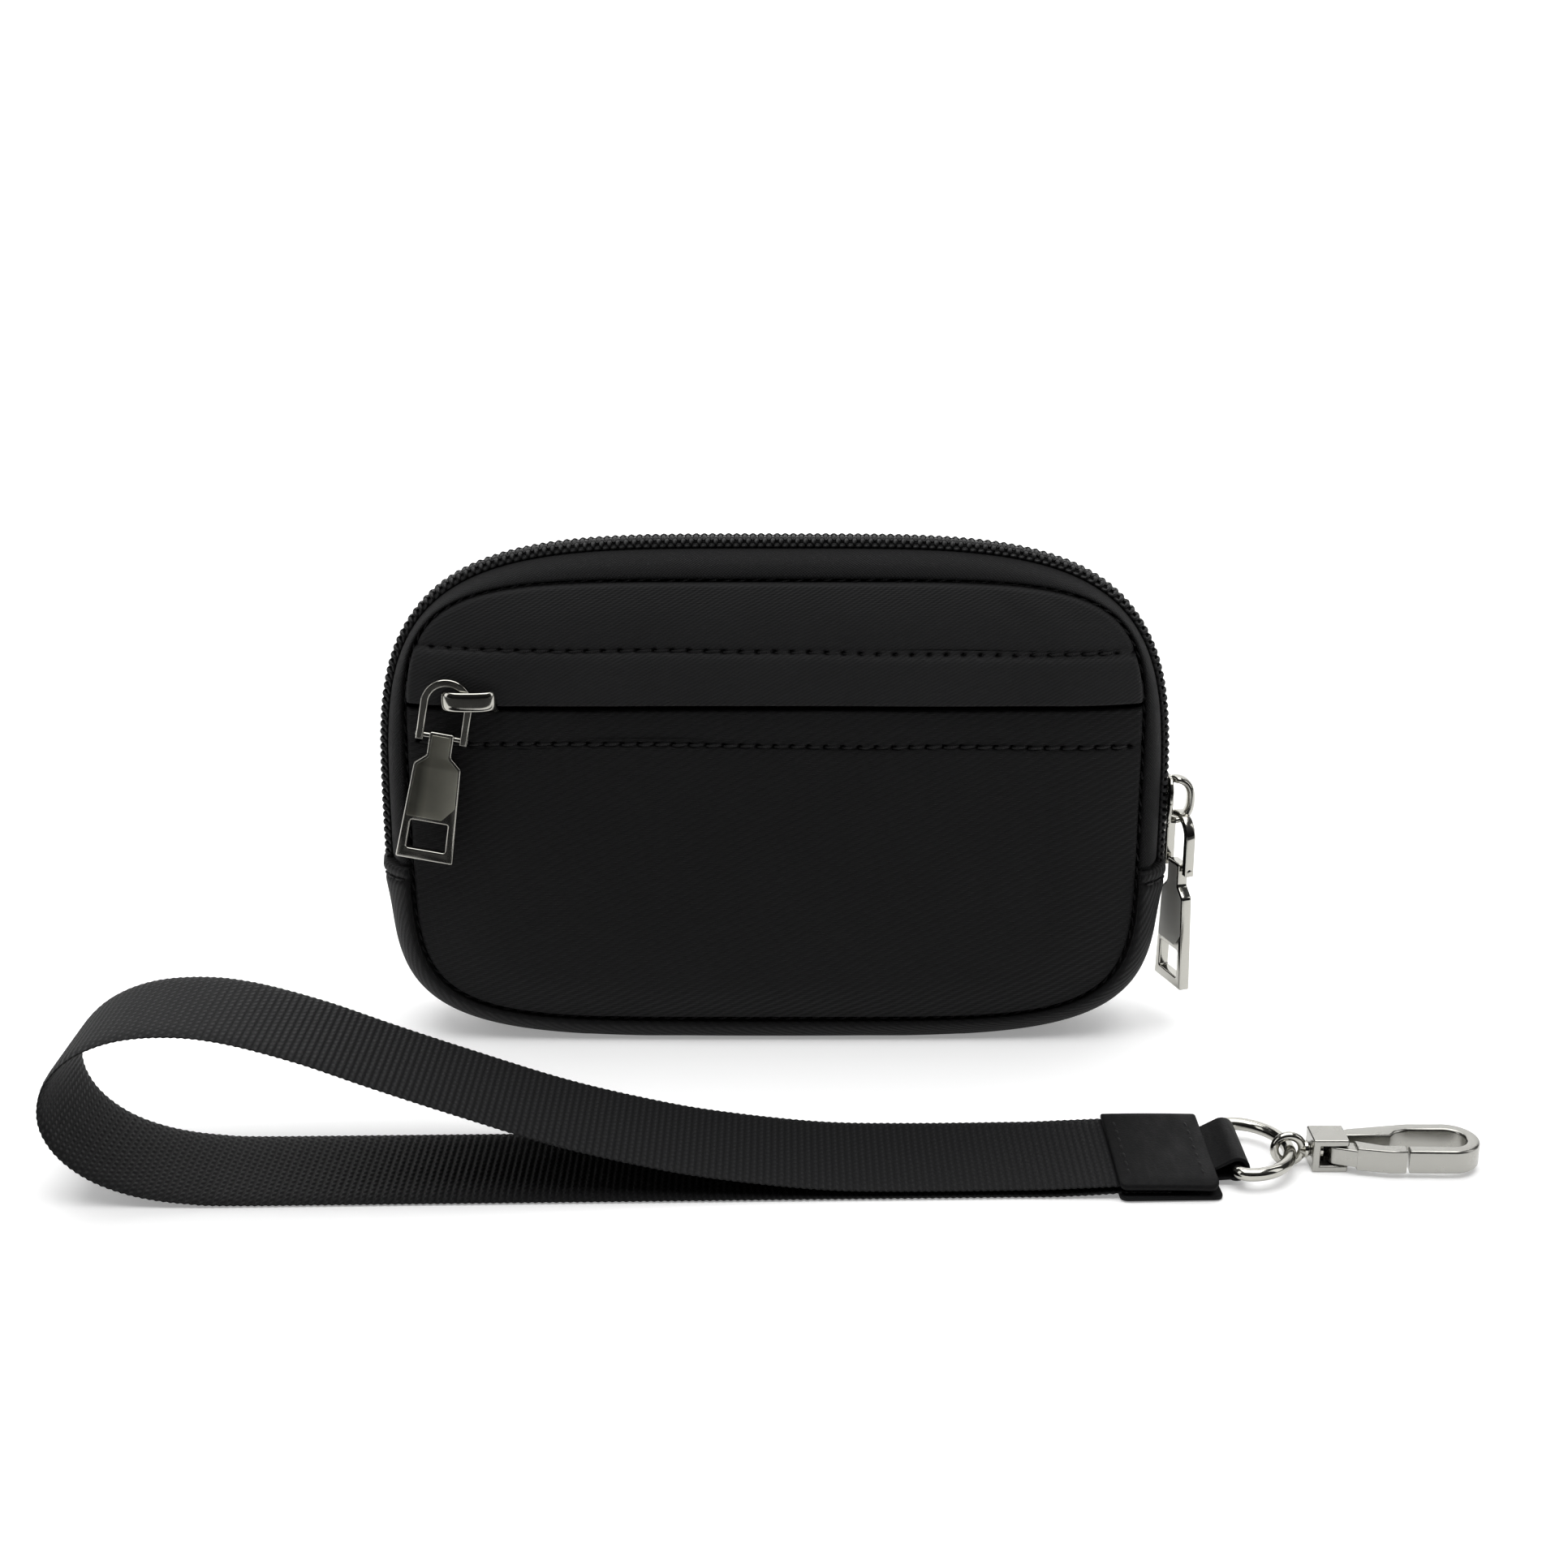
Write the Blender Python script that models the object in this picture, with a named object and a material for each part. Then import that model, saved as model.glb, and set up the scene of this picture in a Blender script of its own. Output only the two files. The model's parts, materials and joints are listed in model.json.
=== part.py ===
"""Small zippered pouch with a welted front zip pocket and its detachable wrist strap.

The pouch stands on the flat underside of its bottom gusset.  +X runs to the wearer's
right, -Y is the front and +Z is up.  The origin is on the floor below the middle of
the gusset.  The wrist strap lies unclipped on the same floor in front of the pouch.
Lengths are written in millimetres and turned into metres when a mesh is made.
"""
import math

import bmesh
import bpy
import numpy as np
from mathutils import Matrix, Vector

MM = 0.001
GAP = 0.3                      # clearance kept between touching pieces

# --- pouch -------------------------------------------------------------------------
HALF_DEPTH = 10.5              # the front and back seams lie at y = -/+ this
FABRIC = 0.8                   # shell fabric with its coating
LINING = 0.3
FOAM = 1.3
PANEL_BULGE = 2.4              # how far the panels swell past the seams
BULGE_START = 0.78             # share of the outline that stays flat
RAY_CENTRE_Z = 42.0            # outlines are read along rays from here
SEAM = dict(a=68.5, zc=45.8, top=45.2, bottom=41.2, n_top=5.4, n_bottom=5.2)
CROWN = dict(a=73.4, zc=38.4, top=57.3, bottom=39.6, n_top=4.0, n_bottom=4.3)
GUSSET_PROUD = 0.9             # the gusset lies over the zip tape's ends
ZIP_END_Z = 33.0               # where the main zip runs under the gusset
GUSSET_STATIONS = 38
ZIP_STATIONS = 46

# --- zip chain, size 5 -------------------------------------------------------------
TAPE = 0.5
COIL_WIDE = 2.4                # one stringer's coil
COIL_THICK = 1.5
CHAIN_GAP = 1.4                # clear way between the two stringers
COIL_LIFT = 0.3                # from the tape's face to the coil

# --- front pocket ------------------------------------------------------------------
STITCH_LINE_Z = 78.2           # where the flap is sewn to the upper panel
SLOT_Z = 67.7                  # middle of the slot between flap and lower welt
WELT_BOTTOM_Z = 60.2           # where the lower welt is sewn to the lower panel
FLAP_PROUD = 0.9
POCKET_CHAIN_Y = -8.1          # front face of the pocket zip's tapes
POCKET_ZIP_HALF = 64.0
BAG_BACK_Y = -5.1

# --- sliders and pulls -------------------------------------------------------------
SLIDER_LONG = 11.0
SLIDER_WIDE = 8.6
BAIL_WIDE = 2.4
BAIL_THICK = 0.8
BAIL_FOOT = 1.1
BAIL_SETBACK = 0.2             # from the wing's ends to the bail's feet
BAIL_RISE = 3.1                # clear height under the main slider's bail
LINK_STANDOFF = 1.6            # from the main slider's wing to the link's middle
LINK_THICK = 1.4
LINK_STRIP = 1.4
LINK_EDGE = 0.28               # bevel along the link's edges
LINK_RADIUS = 4.05             # arch, to the middle of the strip
LINK_LEG = 6.4                 # from the arch's centre to the pin
PIN_RADIUS = 0.32
PIN_HOLE = 0.42
TAB_THICK = 1.6
TAB_NECK_WIDE = 5.2
TAB_NECK_LONG = 3.6
TAB_SHOULDER_WIDE = 8.7
TAB_FOOT_WIDE = 10.7
TAB_LONG = 24.2                # from the pin to the foot
MAIN_SLIDER_Z = 46.0
MAIN_PULL_TWIST = 18.0         # degrees that the side pull is turned on its bail
POCKET_SLIDER_X = -55.7
POCKET_PULL_LEAN = 10.5        # degrees that the front pull leans to the left
POCKET_LINK_Y = -15.2
POCKET_ARCH_X = -59.7
POCKET_ARCH_Z = 69.2
POCKET_BAIL_TOP_Y = -17.0

# --- wrist strap -------------------------------------------------------------------
STRAP_Y = -61.5                # middle of the strap
WEB_WIDE = 25.0
WEB_THICK = 1.0
WEB_SKEW = 3.3                 # how far the loop drifts towards the front
WEB_TOP_Z = 1.8                # middle of the upper layer where the two lie together
WEB_END_X = 66.5               # both ends stop here, inside the cap
CAP_X = (57.6, 74.4)
CAP_WIDE = 27.0
CAP_THICK = 0.5
CAP_LAYERS_Z = (1.25, 2.5)     # middles of the two webbing layers inside the cap
RING_WIRE = 1.2                # radius
RING_INNER_WIDE = 16.6
RING_BAR_X = 78.2
RING_REACH = 10.2              # bar to the arc's far point, wire centres
RING_Z = 3.05                  # the ring, the eye and the hook share this level
TAB_STRIP_WIDE = 15.4
TAB_STRIP_THICK = 0.6
EYE_RADIUS = 2.4
EYE_WIRE = 0.6
BLOCK_X = (92.0, 99.9)
BLOCK_SIZE = 6.0
HOOK_THICK = 4.8
HOOK_TIP_X = 121.0
HOOK_WIDE = 10.8
GATE_PIN = (96.4, -63.0)
GATE_END_X = 110.6
GATE_DEEP = 2.3
GATE_SLANT = 0.3               # the gate's end leans back, to swing past the nose


# --- small tools -------------------------------------------------------------------
def clear_scene():
    for item in list(bpy.data.objects):
        bpy.data.objects.remove(item, do_unlink=True)


def make_material(name, colour, roughness, metallic=0.0):
    material = bpy.data.materials.new(name)
    material.use_nodes = True
    shader = material.node_tree.nodes["Principled BSDF"]
    shader.inputs["Base Color"].default_value = (*colour, 1.0)
    shader.inputs["Roughness"].default_value = roughness
    shader.inputs["Metallic"].default_value = metallic
    return material


def add_object(name, mesh, material, smooth_angle=None):
    mesh.materials.append(material)
    if smooth_angle is not None:
        mesh.shade_smooth()
        mesh.set_sharp_from_angle(angle=math.radians(smooth_angle))
    item = bpy.data.objects.new(name, mesh)
    bpy.context.scene.collection.objects.link(item)
    return item


def mesh_from(name, points, faces):
    """A closed mesh in metres from points in millimetres."""
    bm = bmesh.new()
    corners = [bm.verts.new(Vector(p) * MM) for p in points]
    for face in faces:
        bm.faces.new([corners[i] for i in face])
    bmesh.ops.recalc_face_normals(bm, faces=bm.faces)
    mesh = bpy.data.meshes.new(name)
    bm.to_mesh(mesh)
    bm.free()
    return mesh


def skin_mesh(name, outer, inner):
    """Closed slab between two matching grids of points, indexed [row][column]."""
    rows, columns = outer.shape[:2]
    points = np.concatenate([outer.reshape(-1, 3), inner.reshape(-1, 3)])
    back = rows * columns
    faces = []
    for r in range(rows - 1):
        for c in range(columns - 1):
            a = r * columns + c
            faces.append((a, a + 1, a + columns + 1, a + columns))
            faces.append((back + a, back + a + columns, back + a + columns + 1, back + a + 1))
    rim = [c for c in range(columns)]
    rim += [r * columns + columns - 1 for r in range(1, rows)]
    rim += [(rows - 1) * columns + c for c in range(columns - 2, -1, -1)]
    rim += [r * columns for r in range(rows - 2, 0, -1)]
    for i, a in enumerate(rim):
        b = rim[(i + 1) % len(rim)]
        faces.append((a, back + a, back + b, b))
    return mesh_from(name, points, faces)


def swept_mesh(name, sections, closed=False):
    """Closed tube through rings of points, capped unless the sweep closes on itself."""
    sections = np.asarray(sections)
    count, ring = sections.shape[:2]
    faces = []
    for s in range(count if closed else count - 1):
        t = (s + 1) % count
        for i in range(ring):
            j = (i + 1) % ring
            faces.append((s * ring + i, s * ring + j, t * ring + j, t * ring + i))
    if not closed:
        faces.append(tuple(range(ring)))
        faces.append(tuple((count - 1) * ring + i for i in range(ring)))
    return mesh_from(name, sections.reshape(-1, 3), faces)


def prism_mesh(name, outline, low, high):
    """Extrude an outline of (u, v) points along the third axis: (u, v, w)."""
    sections = [[(u, v, w) for u, v in outline] for w in (low, high)]
    return swept_mesh(name, sections)


def box_mesh(name, low, high):
    outline = [(low[0], low[1]), (high[0], low[1]), (high[0], high[1]), (low[0], high[1])]
    return prism_mesh(name, outline, low[2], high[2])


def cylinder_mesh(name, start, end, radius, sides=16):
    start, end = Vector(start), Vector(end)
    turn = (end - start).to_track_quat("Z", "Y").to_matrix()
    angles = [2 * math.pi * i / sides for i in range(sides)]
    ring = [turn @ Vector((radius * math.cos(a), radius * math.sin(a), 0)) for a in angles]
    return swept_mesh(name, [[tuple(p + q) for q in ring] for p in (start, end)])


def hidden_tool(name, mesh):
    tool = bpy.data.objects.new(name, mesh)
    bpy.context.scene.collection.objects.link(tool)
    tool.hide_render = True
    tool.display_type = "WIRE"
    return tool


def combine(item, operation, meshes):
    """Apply one Boolean per mesh to an object and drop the tools afterwards."""
    for index, mesh in enumerate(meshes):
        tool = hidden_tool(f"{item.name}.tool{index}", mesh)
        tool.matrix_world = item.matrix_world
        modifier = item.modifiers.new(operation.lower(), "BOOLEAN")
        modifier.operation = operation
        modifier.solver = "EXACT"
        modifier.object = tool
        bpy.context.view_layer.update()
        depsgraph = bpy.context.evaluated_depsgraph_get()
        result = bpy.data.meshes.new_from_object(item.evaluated_get(depsgraph))
        item.modifiers.clear()
        item.data = result
        bpy.data.objects.remove(tool, do_unlink=True)
    return item


def arc(centre, radius, start, end, steps):
    """Points on a circle's arc, angles in degrees."""
    angles = np.radians(np.linspace(start, end, steps + 1))
    return [(centre[0] + radius * math.cos(a), centre[1] + radius * math.sin(a)) for a in angles]


# --- the pouch's outlines ----------------------------------------------------------
def outline_value(x, z, shape):
    """Superellipse test value, 1 on the outline."""
    dz = z - shape["zc"]
    half, power = (shape["top"], shape["n_top"]) if dz > 0 else (shape["bottom"], shape["n_bottom"])
    return abs(x / shape["a"]) ** power + abs(dz / half) ** power


def outline_point(angle, shape, grow=0.0):
    """Point (x, z) of an outline along a ray, moved outwards by grow."""
    direction = (math.cos(angle), math.sin(angle))
    low, high = 0.0, 2.0 * shape["a"]
    for _ in range(50):
        middle = (low + high) / 2
        x, z = middle * direction[0], RAY_CENTRE_Z + middle * direction[1]
        if outline_value(x, z, shape) < 1:
            low = middle
        else:
            high = middle
    reach = low + grow
    return np.array([reach * direction[0], RAY_CENTRE_Z + reach * direction[1]])


def outline_half_width(z, shape):
    dz = z - shape["zc"]
    half, power = (shape["top"], shape["n_top"]) if dz > 0 else (shape["bottom"], shape["n_bottom"])
    inside = max(0.0, 1.0 - abs(dz / half) ** power)
    return shape["a"] * inside ** (1 / power)


def even_angles(start, end, count, shape):
    """Ray angles that step evenly along an outline."""
    dense = np.linspace(start, end, 600)
    points = np.array([outline_point(a, shape) for a in dense])
    steps = np.hypot(*np.diff(points, axis=0).T)
    travelled = np.concatenate([[0.0], np.cumsum(steps)])
    return np.interp(np.linspace(0, travelled[-1], count), travelled, dense)


def crown_angle(z, right):
    """Ray angle at which the crown outline passes a height, on one side."""
    x = outline_half_width(z, CROWN)
    angle = math.atan2(z - RAY_CENTRE_Z, x)
    return angle if right else math.pi - angle


def band_point(angle, across, offset):
    """Point on the band between the two seams.

    across runs from -1 at the front seam to 1 at the back seam, and offset moves the
    point outwards, square to the outline, from the fabric's reference surface.
    """
    seam = outline_point(angle, SEAM, GAP)
    crown = outline_point(angle, CROWN)
    lift = math.cos(across * math.pi / 2)
    direction = (crown - seam) / np.hypot(*(crown - seam))
    place = seam + (crown - seam) * lift + direction * offset * (0.35 + 0.65 * lift)
    y = (HALF_DEPTH - 0.1 + offset * (1 - lift)) * math.sin(across * math.pi / 2)
    return np.array([place[0], y, place[1]])


def band_grid(angles, acrosses, offset):
    return np.array([[band_point(a, v, offset) for v in acrosses] for a in angles])


def across_at(y):
    return math.asin(y / (HALF_DEPTH - 0.1)) * 2 / math.pi


def outline_share(x, z, shape):
    """0 at the middle of an outline and 1 on it."""
    return outline_value(x, z, shape) ** (1 / shape["n_top"])


def bulge(x, z):
    share = outline_share(x, z, SEAM)
    rounded = max(0.0, share - BULGE_START) / (1 - BULGE_START)
    return PANEL_BULGE * max(0.0, 1 - rounded ** 2)


def panel_rows(low, high, count):
    """Heights from low to high, closer together near the outline's ends."""
    steps = (1 - np.cos(np.linspace(0, math.pi, count))) / 2
    return low + (high - low) * steps


def panel_grid(heights, columns, inset, depth, side, flat_y=None):
    """Grid of points over the front (side -1) or back (side 1) panel.

    depth is measured inwards from the swollen outer face, unless flat_y gives a plane.
    """
    rows = []
    for z in heights:
        half = outline_half_width(z, SEAM) - inset
        spread = np.sin(np.linspace(-1, 1, columns) * math.pi / 2)
        row = []
        for x in half * spread:
            y = side * (HALF_DEPTH + bulge(x, z) - depth) if flat_y is None else flat_y
            row.append((x, y, z))
        rows.append(row)
    return np.array(rows)


# --- pouch shell -------------------------------------------------------------------
SEAM_LOW = SEAM["zc"] - SEAM["bottom"] + 0.35
SEAM_HIGH = SEAM["zc"] + SEAM["top"] - 0.35


def build_panel(name, low, high, rows, columns, depth, thick, material, side=-1, inset=GAP):
    heights = panel_rows(low, high, rows)
    outer = panel_grid(heights, columns, inset, depth, side)
    inner = panel_grid(heights, columns, inset, depth + thick, side)
    return add_object(name, skin_mesh(name, outer, inner), material, 40)


def build_sheet(name, low, high, rows, columns, y, thick, material, inset):
    """Flat inner sheet cut to the seam outline."""
    heights = panel_rows(low, high, rows)
    front = panel_grid(heights, columns, inset, 0, -1, flat_y=y)
    back = panel_grid(heights, columns, inset, 0, -1, flat_y=y + thick)
    return add_object(name, skin_mesh(name, front, back), material)


def build_panels(shell, lining, foam):
    slot = CHAIN_GAP / 2
    build_panel("front_upper_panel", STITCH_LINE_Z + GAP, SEAM_HIGH, 7, 16, 0, FABRIC, shell)
    build_panel("pocket_flap", SLOT_Z + slot, STITCH_LINE_Z, 4, 16, -FLAP_PROUD, FABRIC, shell)
    build_panel("pocket_lower_welt", WELT_BOTTOM_Z + GAP, SLOT_Z - slot, 4, 16, 0, FABRIC, shell)
    build_panel("front_lower_panel", SEAM_LOW, WELT_BOTTOM_Z, 12, 16, 0, FABRIC, shell)
    build_panel("back_panel", SEAM_LOW, SEAM_HIGH, 16, 16, 0, FABRIC, shell, side=1)
    foam_depth = FABRIC + GAP
    build_panel("front_foam", SEAM_LOW + 2, 54.0, 9, 12, foam_depth, FOAM, foam, inset=3.0)
    build_panel("back_foam", SEAM_LOW + 2, SEAM_HIGH - 2, 11, 12, foam_depth, FOAM, foam, 1, 3.0)
    bag_depth = foam_depth + FOAM + GAP
    build_panel("pocket_bag_front", SEAM_LOW + 4, 54.0, 8, 10, bag_depth, LINING, lining, inset=7.0)
    build_sheet("pocket_bag_back", SEAM_LOW + 4, 77.5, 9, 8, BAG_BACK_Y, LINING, lining, 7.0)
    build_sheet("front_lining", SEAM_LOW + 3, SEAM_HIGH - 3, 11, 8, -4.4, LINING, lining, 4.5)
    build_sheet("back_lining", SEAM_LOW + 3, SEAM_HIGH - 3, 11, 8, 8.3, LINING, lining, 4.5)


def gusset_angles():
    start = crown_angle(ZIP_END_Z, right=False)
    end = crown_angle(ZIP_END_Z, right=True) + 2 * math.pi
    return even_angles(start, end, GUSSET_STATIONS, CROWN)


def build_gusset(shell, lining):
    """U-shaped band under and up both sides, its ends lapped over the zip."""
    angles = gusset_angles()
    acrosses = np.linspace(-1, 1, 9)
    outer = band_grid(angles, acrosses, GUSSET_PROUD)
    inner = band_grid(angles, acrosses, GUSSET_PROUD - FABRIC)
    outer[:, :, 2] = np.maximum(outer[:, :, 2], 0.0)
    inner[:, :, 2] = np.maximum(inner[:, :, 2], FABRIC)
    add_object("bottom_gusset", skin_mesh("bottom_gusset", outer, inner), shell, 40)
    acrosses = np.linspace(-0.62, 0.62, 5)
    depth = GUSSET_PROUD - FABRIC - GAP - TAPE - GAP
    outer = band_grid(angles[1:-1], acrosses, depth)
    inner = band_grid(angles[1:-1], acrosses, depth - LINING)
    outer[:, :, 2] = np.maximum(outer[:, :, 2], 1.6)
    inner[:, :, 2] = np.maximum(inner[:, :, 2], 1.6 + LINING)
    add_object("gusset_lining", skin_mesh("gusset_lining", outer, inner), lining, 40)


def zip_angles():
    start = crown_angle(ZIP_END_Z + GAP, right=True)
    end = crown_angle(ZIP_END_Z + GAP, right=False)
    return even_angles(start, end, ZIP_STATIONS, CROWN)


def build_main_zip(tape_material, coil_material):
    """Two stringers over the crown, a clear way of CHAIN_GAP between them."""
    angles = zip_angles()
    for name, side in (("front", -1), ("back", 1)):
        edge = across_at(side * (CHAIN_GAP / 2 + 0.1))
        acrosses = np.linspace(side * 1.0, edge, 5)
        outer = band_grid(angles, acrosses, 0.0)
        inner = band_grid(angles, acrosses, -TAPE)
        tape = f"main_zip_tape_{name}"
        add_object(tape, skin_mesh(tape, outer, inner), tape_material, 40)
        near = across_at(side * CHAIN_GAP / 2)
        far = across_at(side * (CHAIN_GAP / 2 + COIL_WIDE))
        low, high = COIL_LIFT, COIL_LIFT + COIL_THICK
        rings = []
        for angle in angles:
            spots = ((near, low), (far, low), (far, high * 0.75), (near, high))
            rings.append([band_point(angle, v, h) for v, h in spots])
        coil = f"main_zip_coil_{name}"
        add_object(coil, swept_mesh(coil, rings), coil_material, 40)


def build_seam_bindings(material):
    """Binding tapes over the turned-in seam allowances, one inside each seam."""
    angles = even_angles(0, 2 * math.pi, 49, SEAM)[:-1]
    for name, side in (("front", -1), ("back", 1)):
        rings = []
        for angle in angles:
            outer = outline_point(angle, SEAM, -1.4)
            inner = outline_point(angle, SEAM, -2.4)
            near, far = side * (HALF_DEPTH - 3.1), side * (HALF_DEPTH - 5.6)
            rings.append([(outer[0], near, outer[1]), (inner[0], near, inner[1]),
                          (inner[0], far, inner[1]), (outer[0], far, outer[1])])
        binding = f"seam_binding_{name}"
        add_object(binding, swept_mesh(binding, rings, closed=True), material, 40)


def build_pocket_zip(tape_material, coil_material):
    """Flat zip behind the pocket's slot."""
    half = POCKET_ZIP_HALF
    front = POCKET_CHAIN_Y
    near, far = CHAIN_GAP / 2, CHAIN_GAP / 2 + COIL_WIDE
    edge = near + 0.15
    for name, sign, width in (("upper", 1, 9.5), ("lower", -1, 9.5)):
        low, high = sorted((SLOT_Z + sign * edge, SLOT_Z + sign * width))
        tape = f"pocket_zip_tape_{name}"
        mesh = box_mesh(tape, (-half, front, low), (half, front + TAPE, high))
        add_object(tape, mesh, tape_material)
        low, high = sorted((SLOT_Z + sign * near, SLOT_Z + sign * far))
        coil = f"pocket_zip_coil_{name}"
        back = front - COIL_LIFT
        mesh = box_mesh(coil, (-half + 1, back - COIL_THICK, low), (half - 1, back, high))
        add_object(coil, mesh, coil_material)


# --- sliders and pulls -------------------------------------------------------------
def slider_plan(scale=1.0):
    """Wing seen from the front: broad at the shoulders, narrower at the tail."""
    long, wide = SLIDER_LONG / 2 * scale, SLIDER_WIDE / 2 * scale
    right = [(-long, wide * 0.52), (-long * 0.66, wide * 0.58), (-long * 0.1, wide),
             (long * 0.55, wide), (long, wide * 0.62)]
    return right + [(u, -v) for u, v in reversed(right)]


def bail_profile(base, height):
    """Bridge over the wing, seen from the side: (along, out) points."""
    half = SLIDER_LONG / 2 - BAIL_SETBACK
    inner = half - BAIL_FOOT
    corner = 2.0
    outer_side = arc((half - corner, height - corner), corner, 0, 90, 4)
    inner_corner = corner - BAIL_THICK
    inner_height = height - BAIL_THICK
    inner_side = arc((inner - inner_corner, inner_height - inner_corner), inner_corner, 90, 0, 3)
    right = [(half, base)] + outer_side
    left = [(-u, v) for u, v in reversed(right)]
    inside = [(-u, v) for u, v in reversed(inner_side)]
    return right + left + [(-inner, base)] + inside + inner_side + [(inner, base)]


def bail_mesh(name, base, height, low, high):
    sections = [[(u, w, v) for u, v in bail_profile(base, height)] for w in (low, high)]
    return swept_mesh(name, sections)


def build_slider(name, material, wing_inner, wing_outer, bail_base, bail_top, bail_span, stem):
    """Slider in its own frame: x along the zip, y across it, z outwards from the tape.

    stem is half the thickness of the fin that runs between the stringers, and it also
    carries the bail where that stands clear of the wing.
    """
    outer_low, outer_high = wing_outer
    plan = [(u, v, w) for w in (outer_low, outer_high) for u, v in slider_plan()]
    count = len(plan) // 2
    body = add_object(name, swept_mesh(name, [plan[:count], plan[count:]]), material)
    inner_low, inner_high = wing_inner
    inner = prism_mesh("wing", slider_plan(0.94), inner_low, inner_high)
    neck_top = outer_low + 0.3
    neck = box_mesh("neck", (1.4, -stem, inner_high - 0.3), (4.4, stem, neck_top))
    bail = bail_mesh("bail", bail_base, bail_top, *bail_span)
    tools = [neck, inner]
    if bail_base > outer_high:
        half = SLIDER_LONG / 2 - BAIL_SETBACK
        for low in (-half, half - BAIL_FOOT):
            foot = box_mesh("foot", (low + 0.1, -stem, outer_high - 0.3),
                            (low + BAIL_FOOT - 0.1, stem, bail_base + 0.4))
            tools.append(foot)
    tools.append(bail)
    return combine(body, "UNION", tools)


def link_outline(inset):
    """Horseshoe: an arch at the top and two straight legs."""
    outer = LINK_RADIUS + LINK_STRIP / 2 - inset
    inner = LINK_RADIUS - LINK_STRIP / 2 + inset
    foot = -(LINK_LEG + 0.9) + inset
    return ([(outer, foot)] + arc((0, 0), outer, 0, 180, 14) + [(-outer, foot), (-inner, foot)]
            + arc((0, 0), inner, 180, 0, 12) + [(inner, foot)])


def build_link(name, material):
    half = LINK_THICK / 2
    levels = ((-half, LINK_EDGE), (LINK_EDGE - half, 0), (half - LINK_EDGE, 0), (half, LINK_EDGE))
    sections = [[(u, w, v) for u, v in link_outline(inset)] for w, inset in levels]
    link = add_object(name, swept_mesh(name, sections), material, 30)
    reach = LINK_RADIUS + LINK_STRIP
    hole = cylinder_mesh("hole", (-reach, 0, -LINK_LEG), (reach, 0, -LINK_LEG), PIN_HOLE, 12)
    return combine(link, "DIFFERENCE", [hole])


def build_pin(name, material):
    """Headed pin through both legs, in the link's frame."""
    half = LINK_RADIUS + LINK_STRIP / 2 + GAP
    shaft = cylinder_mesh(name, (-half - 0.2, 0, -LINK_LEG), (half + 0.2, 0, -LINK_LEG), PIN_RADIUS, 12)
    pin = add_object(name, shaft, material, 30)
    heads = []
    for side in (-1, 1):
        ends = (side * half, 0, -LINK_LEG), (side * (half + 0.4), 0, -LINK_LEG)
        heads.append(cylinder_mesh("head", *ends, 0.65, 12))
    return combine(pin, "UNION", heads)


def tab_outline():
    """Bottle shape with its pin at the origin and its foot at -z."""
    neck, shoulder, foot = TAB_NECK_WIDE / 2, TAB_SHOULDER_WIDE / 2, TAB_FOOT_WIDE / 2
    right = [(neck, 0.9), (neck, -TAB_NECK_LONG), (shoulder, -TAB_NECK_LONG - 1.9), (foot, -TAB_LONG)]
    return right + [(-u, v) for u, v in reversed(right)]


def build_tab(name, material):
    half = TAB_THICK / 2
    sections = [[(u, w, v) for u, v in tab_outline()] for w in (-half, half)]
    tab = add_object(name, swept_mesh(name, sections), material)
    window = [(3.45, -TAB_LONG + 7.6), (3.6, -TAB_LONG + 2.1)]
    window += [(-u, v) for u, v in reversed(window)]
    sections = [[(u, w, v) for u, v in window] for w in (-2, 2)]
    opening = swept_mesh("window", sections)
    hole = cylinder_mesh("hole", (-4, 0, 0), (4, 0, 0), PIN_HOLE, 12)
    return combine(tab, "DIFFERENCE", [opening, hole])


def place(item, parent, location, turn=None):
    """Parent an object and set its own place in millimetres."""
    item.parent = parent
    local = Matrix.Translation(Vector(location) * MM)
    if turn is not None:
        local = local @ turn.to_4x4()
    item.matrix_local = local
    return item


def frame_empty(name, location, turn):
    empty = bpy.data.objects.new(name, None)
    bpy.context.scene.collection.objects.link(empty)
    empty.matrix_world = Matrix.Translation(Vector(location) * MM) @ turn.to_4x4()
    return empty


def axes_matrix(x_axis, y_axis):
    x_axis, y_axis = Vector(x_axis).normalized(), Vector(y_axis).normalized()
    return Matrix((x_axis, y_axis, x_axis.cross(y_axis))).transposed()


def build_pull(prefix, metal, arch, turn):
    """Horseshoe link, pin and tab hung from one arch centre."""
    link_frame = frame_empty(f"{prefix}_pull_axis", arch, turn)
    place(build_link(f"{prefix}_pull_link", metal), link_frame, (0, 0, 0))
    place(build_pin(f"{prefix}_pull_pin", metal), link_frame, (0, 0, 0))
    place(build_tab(f"{prefix}_pull_tab", metal), link_frame, (0, 0, -LINK_LEG))


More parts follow.
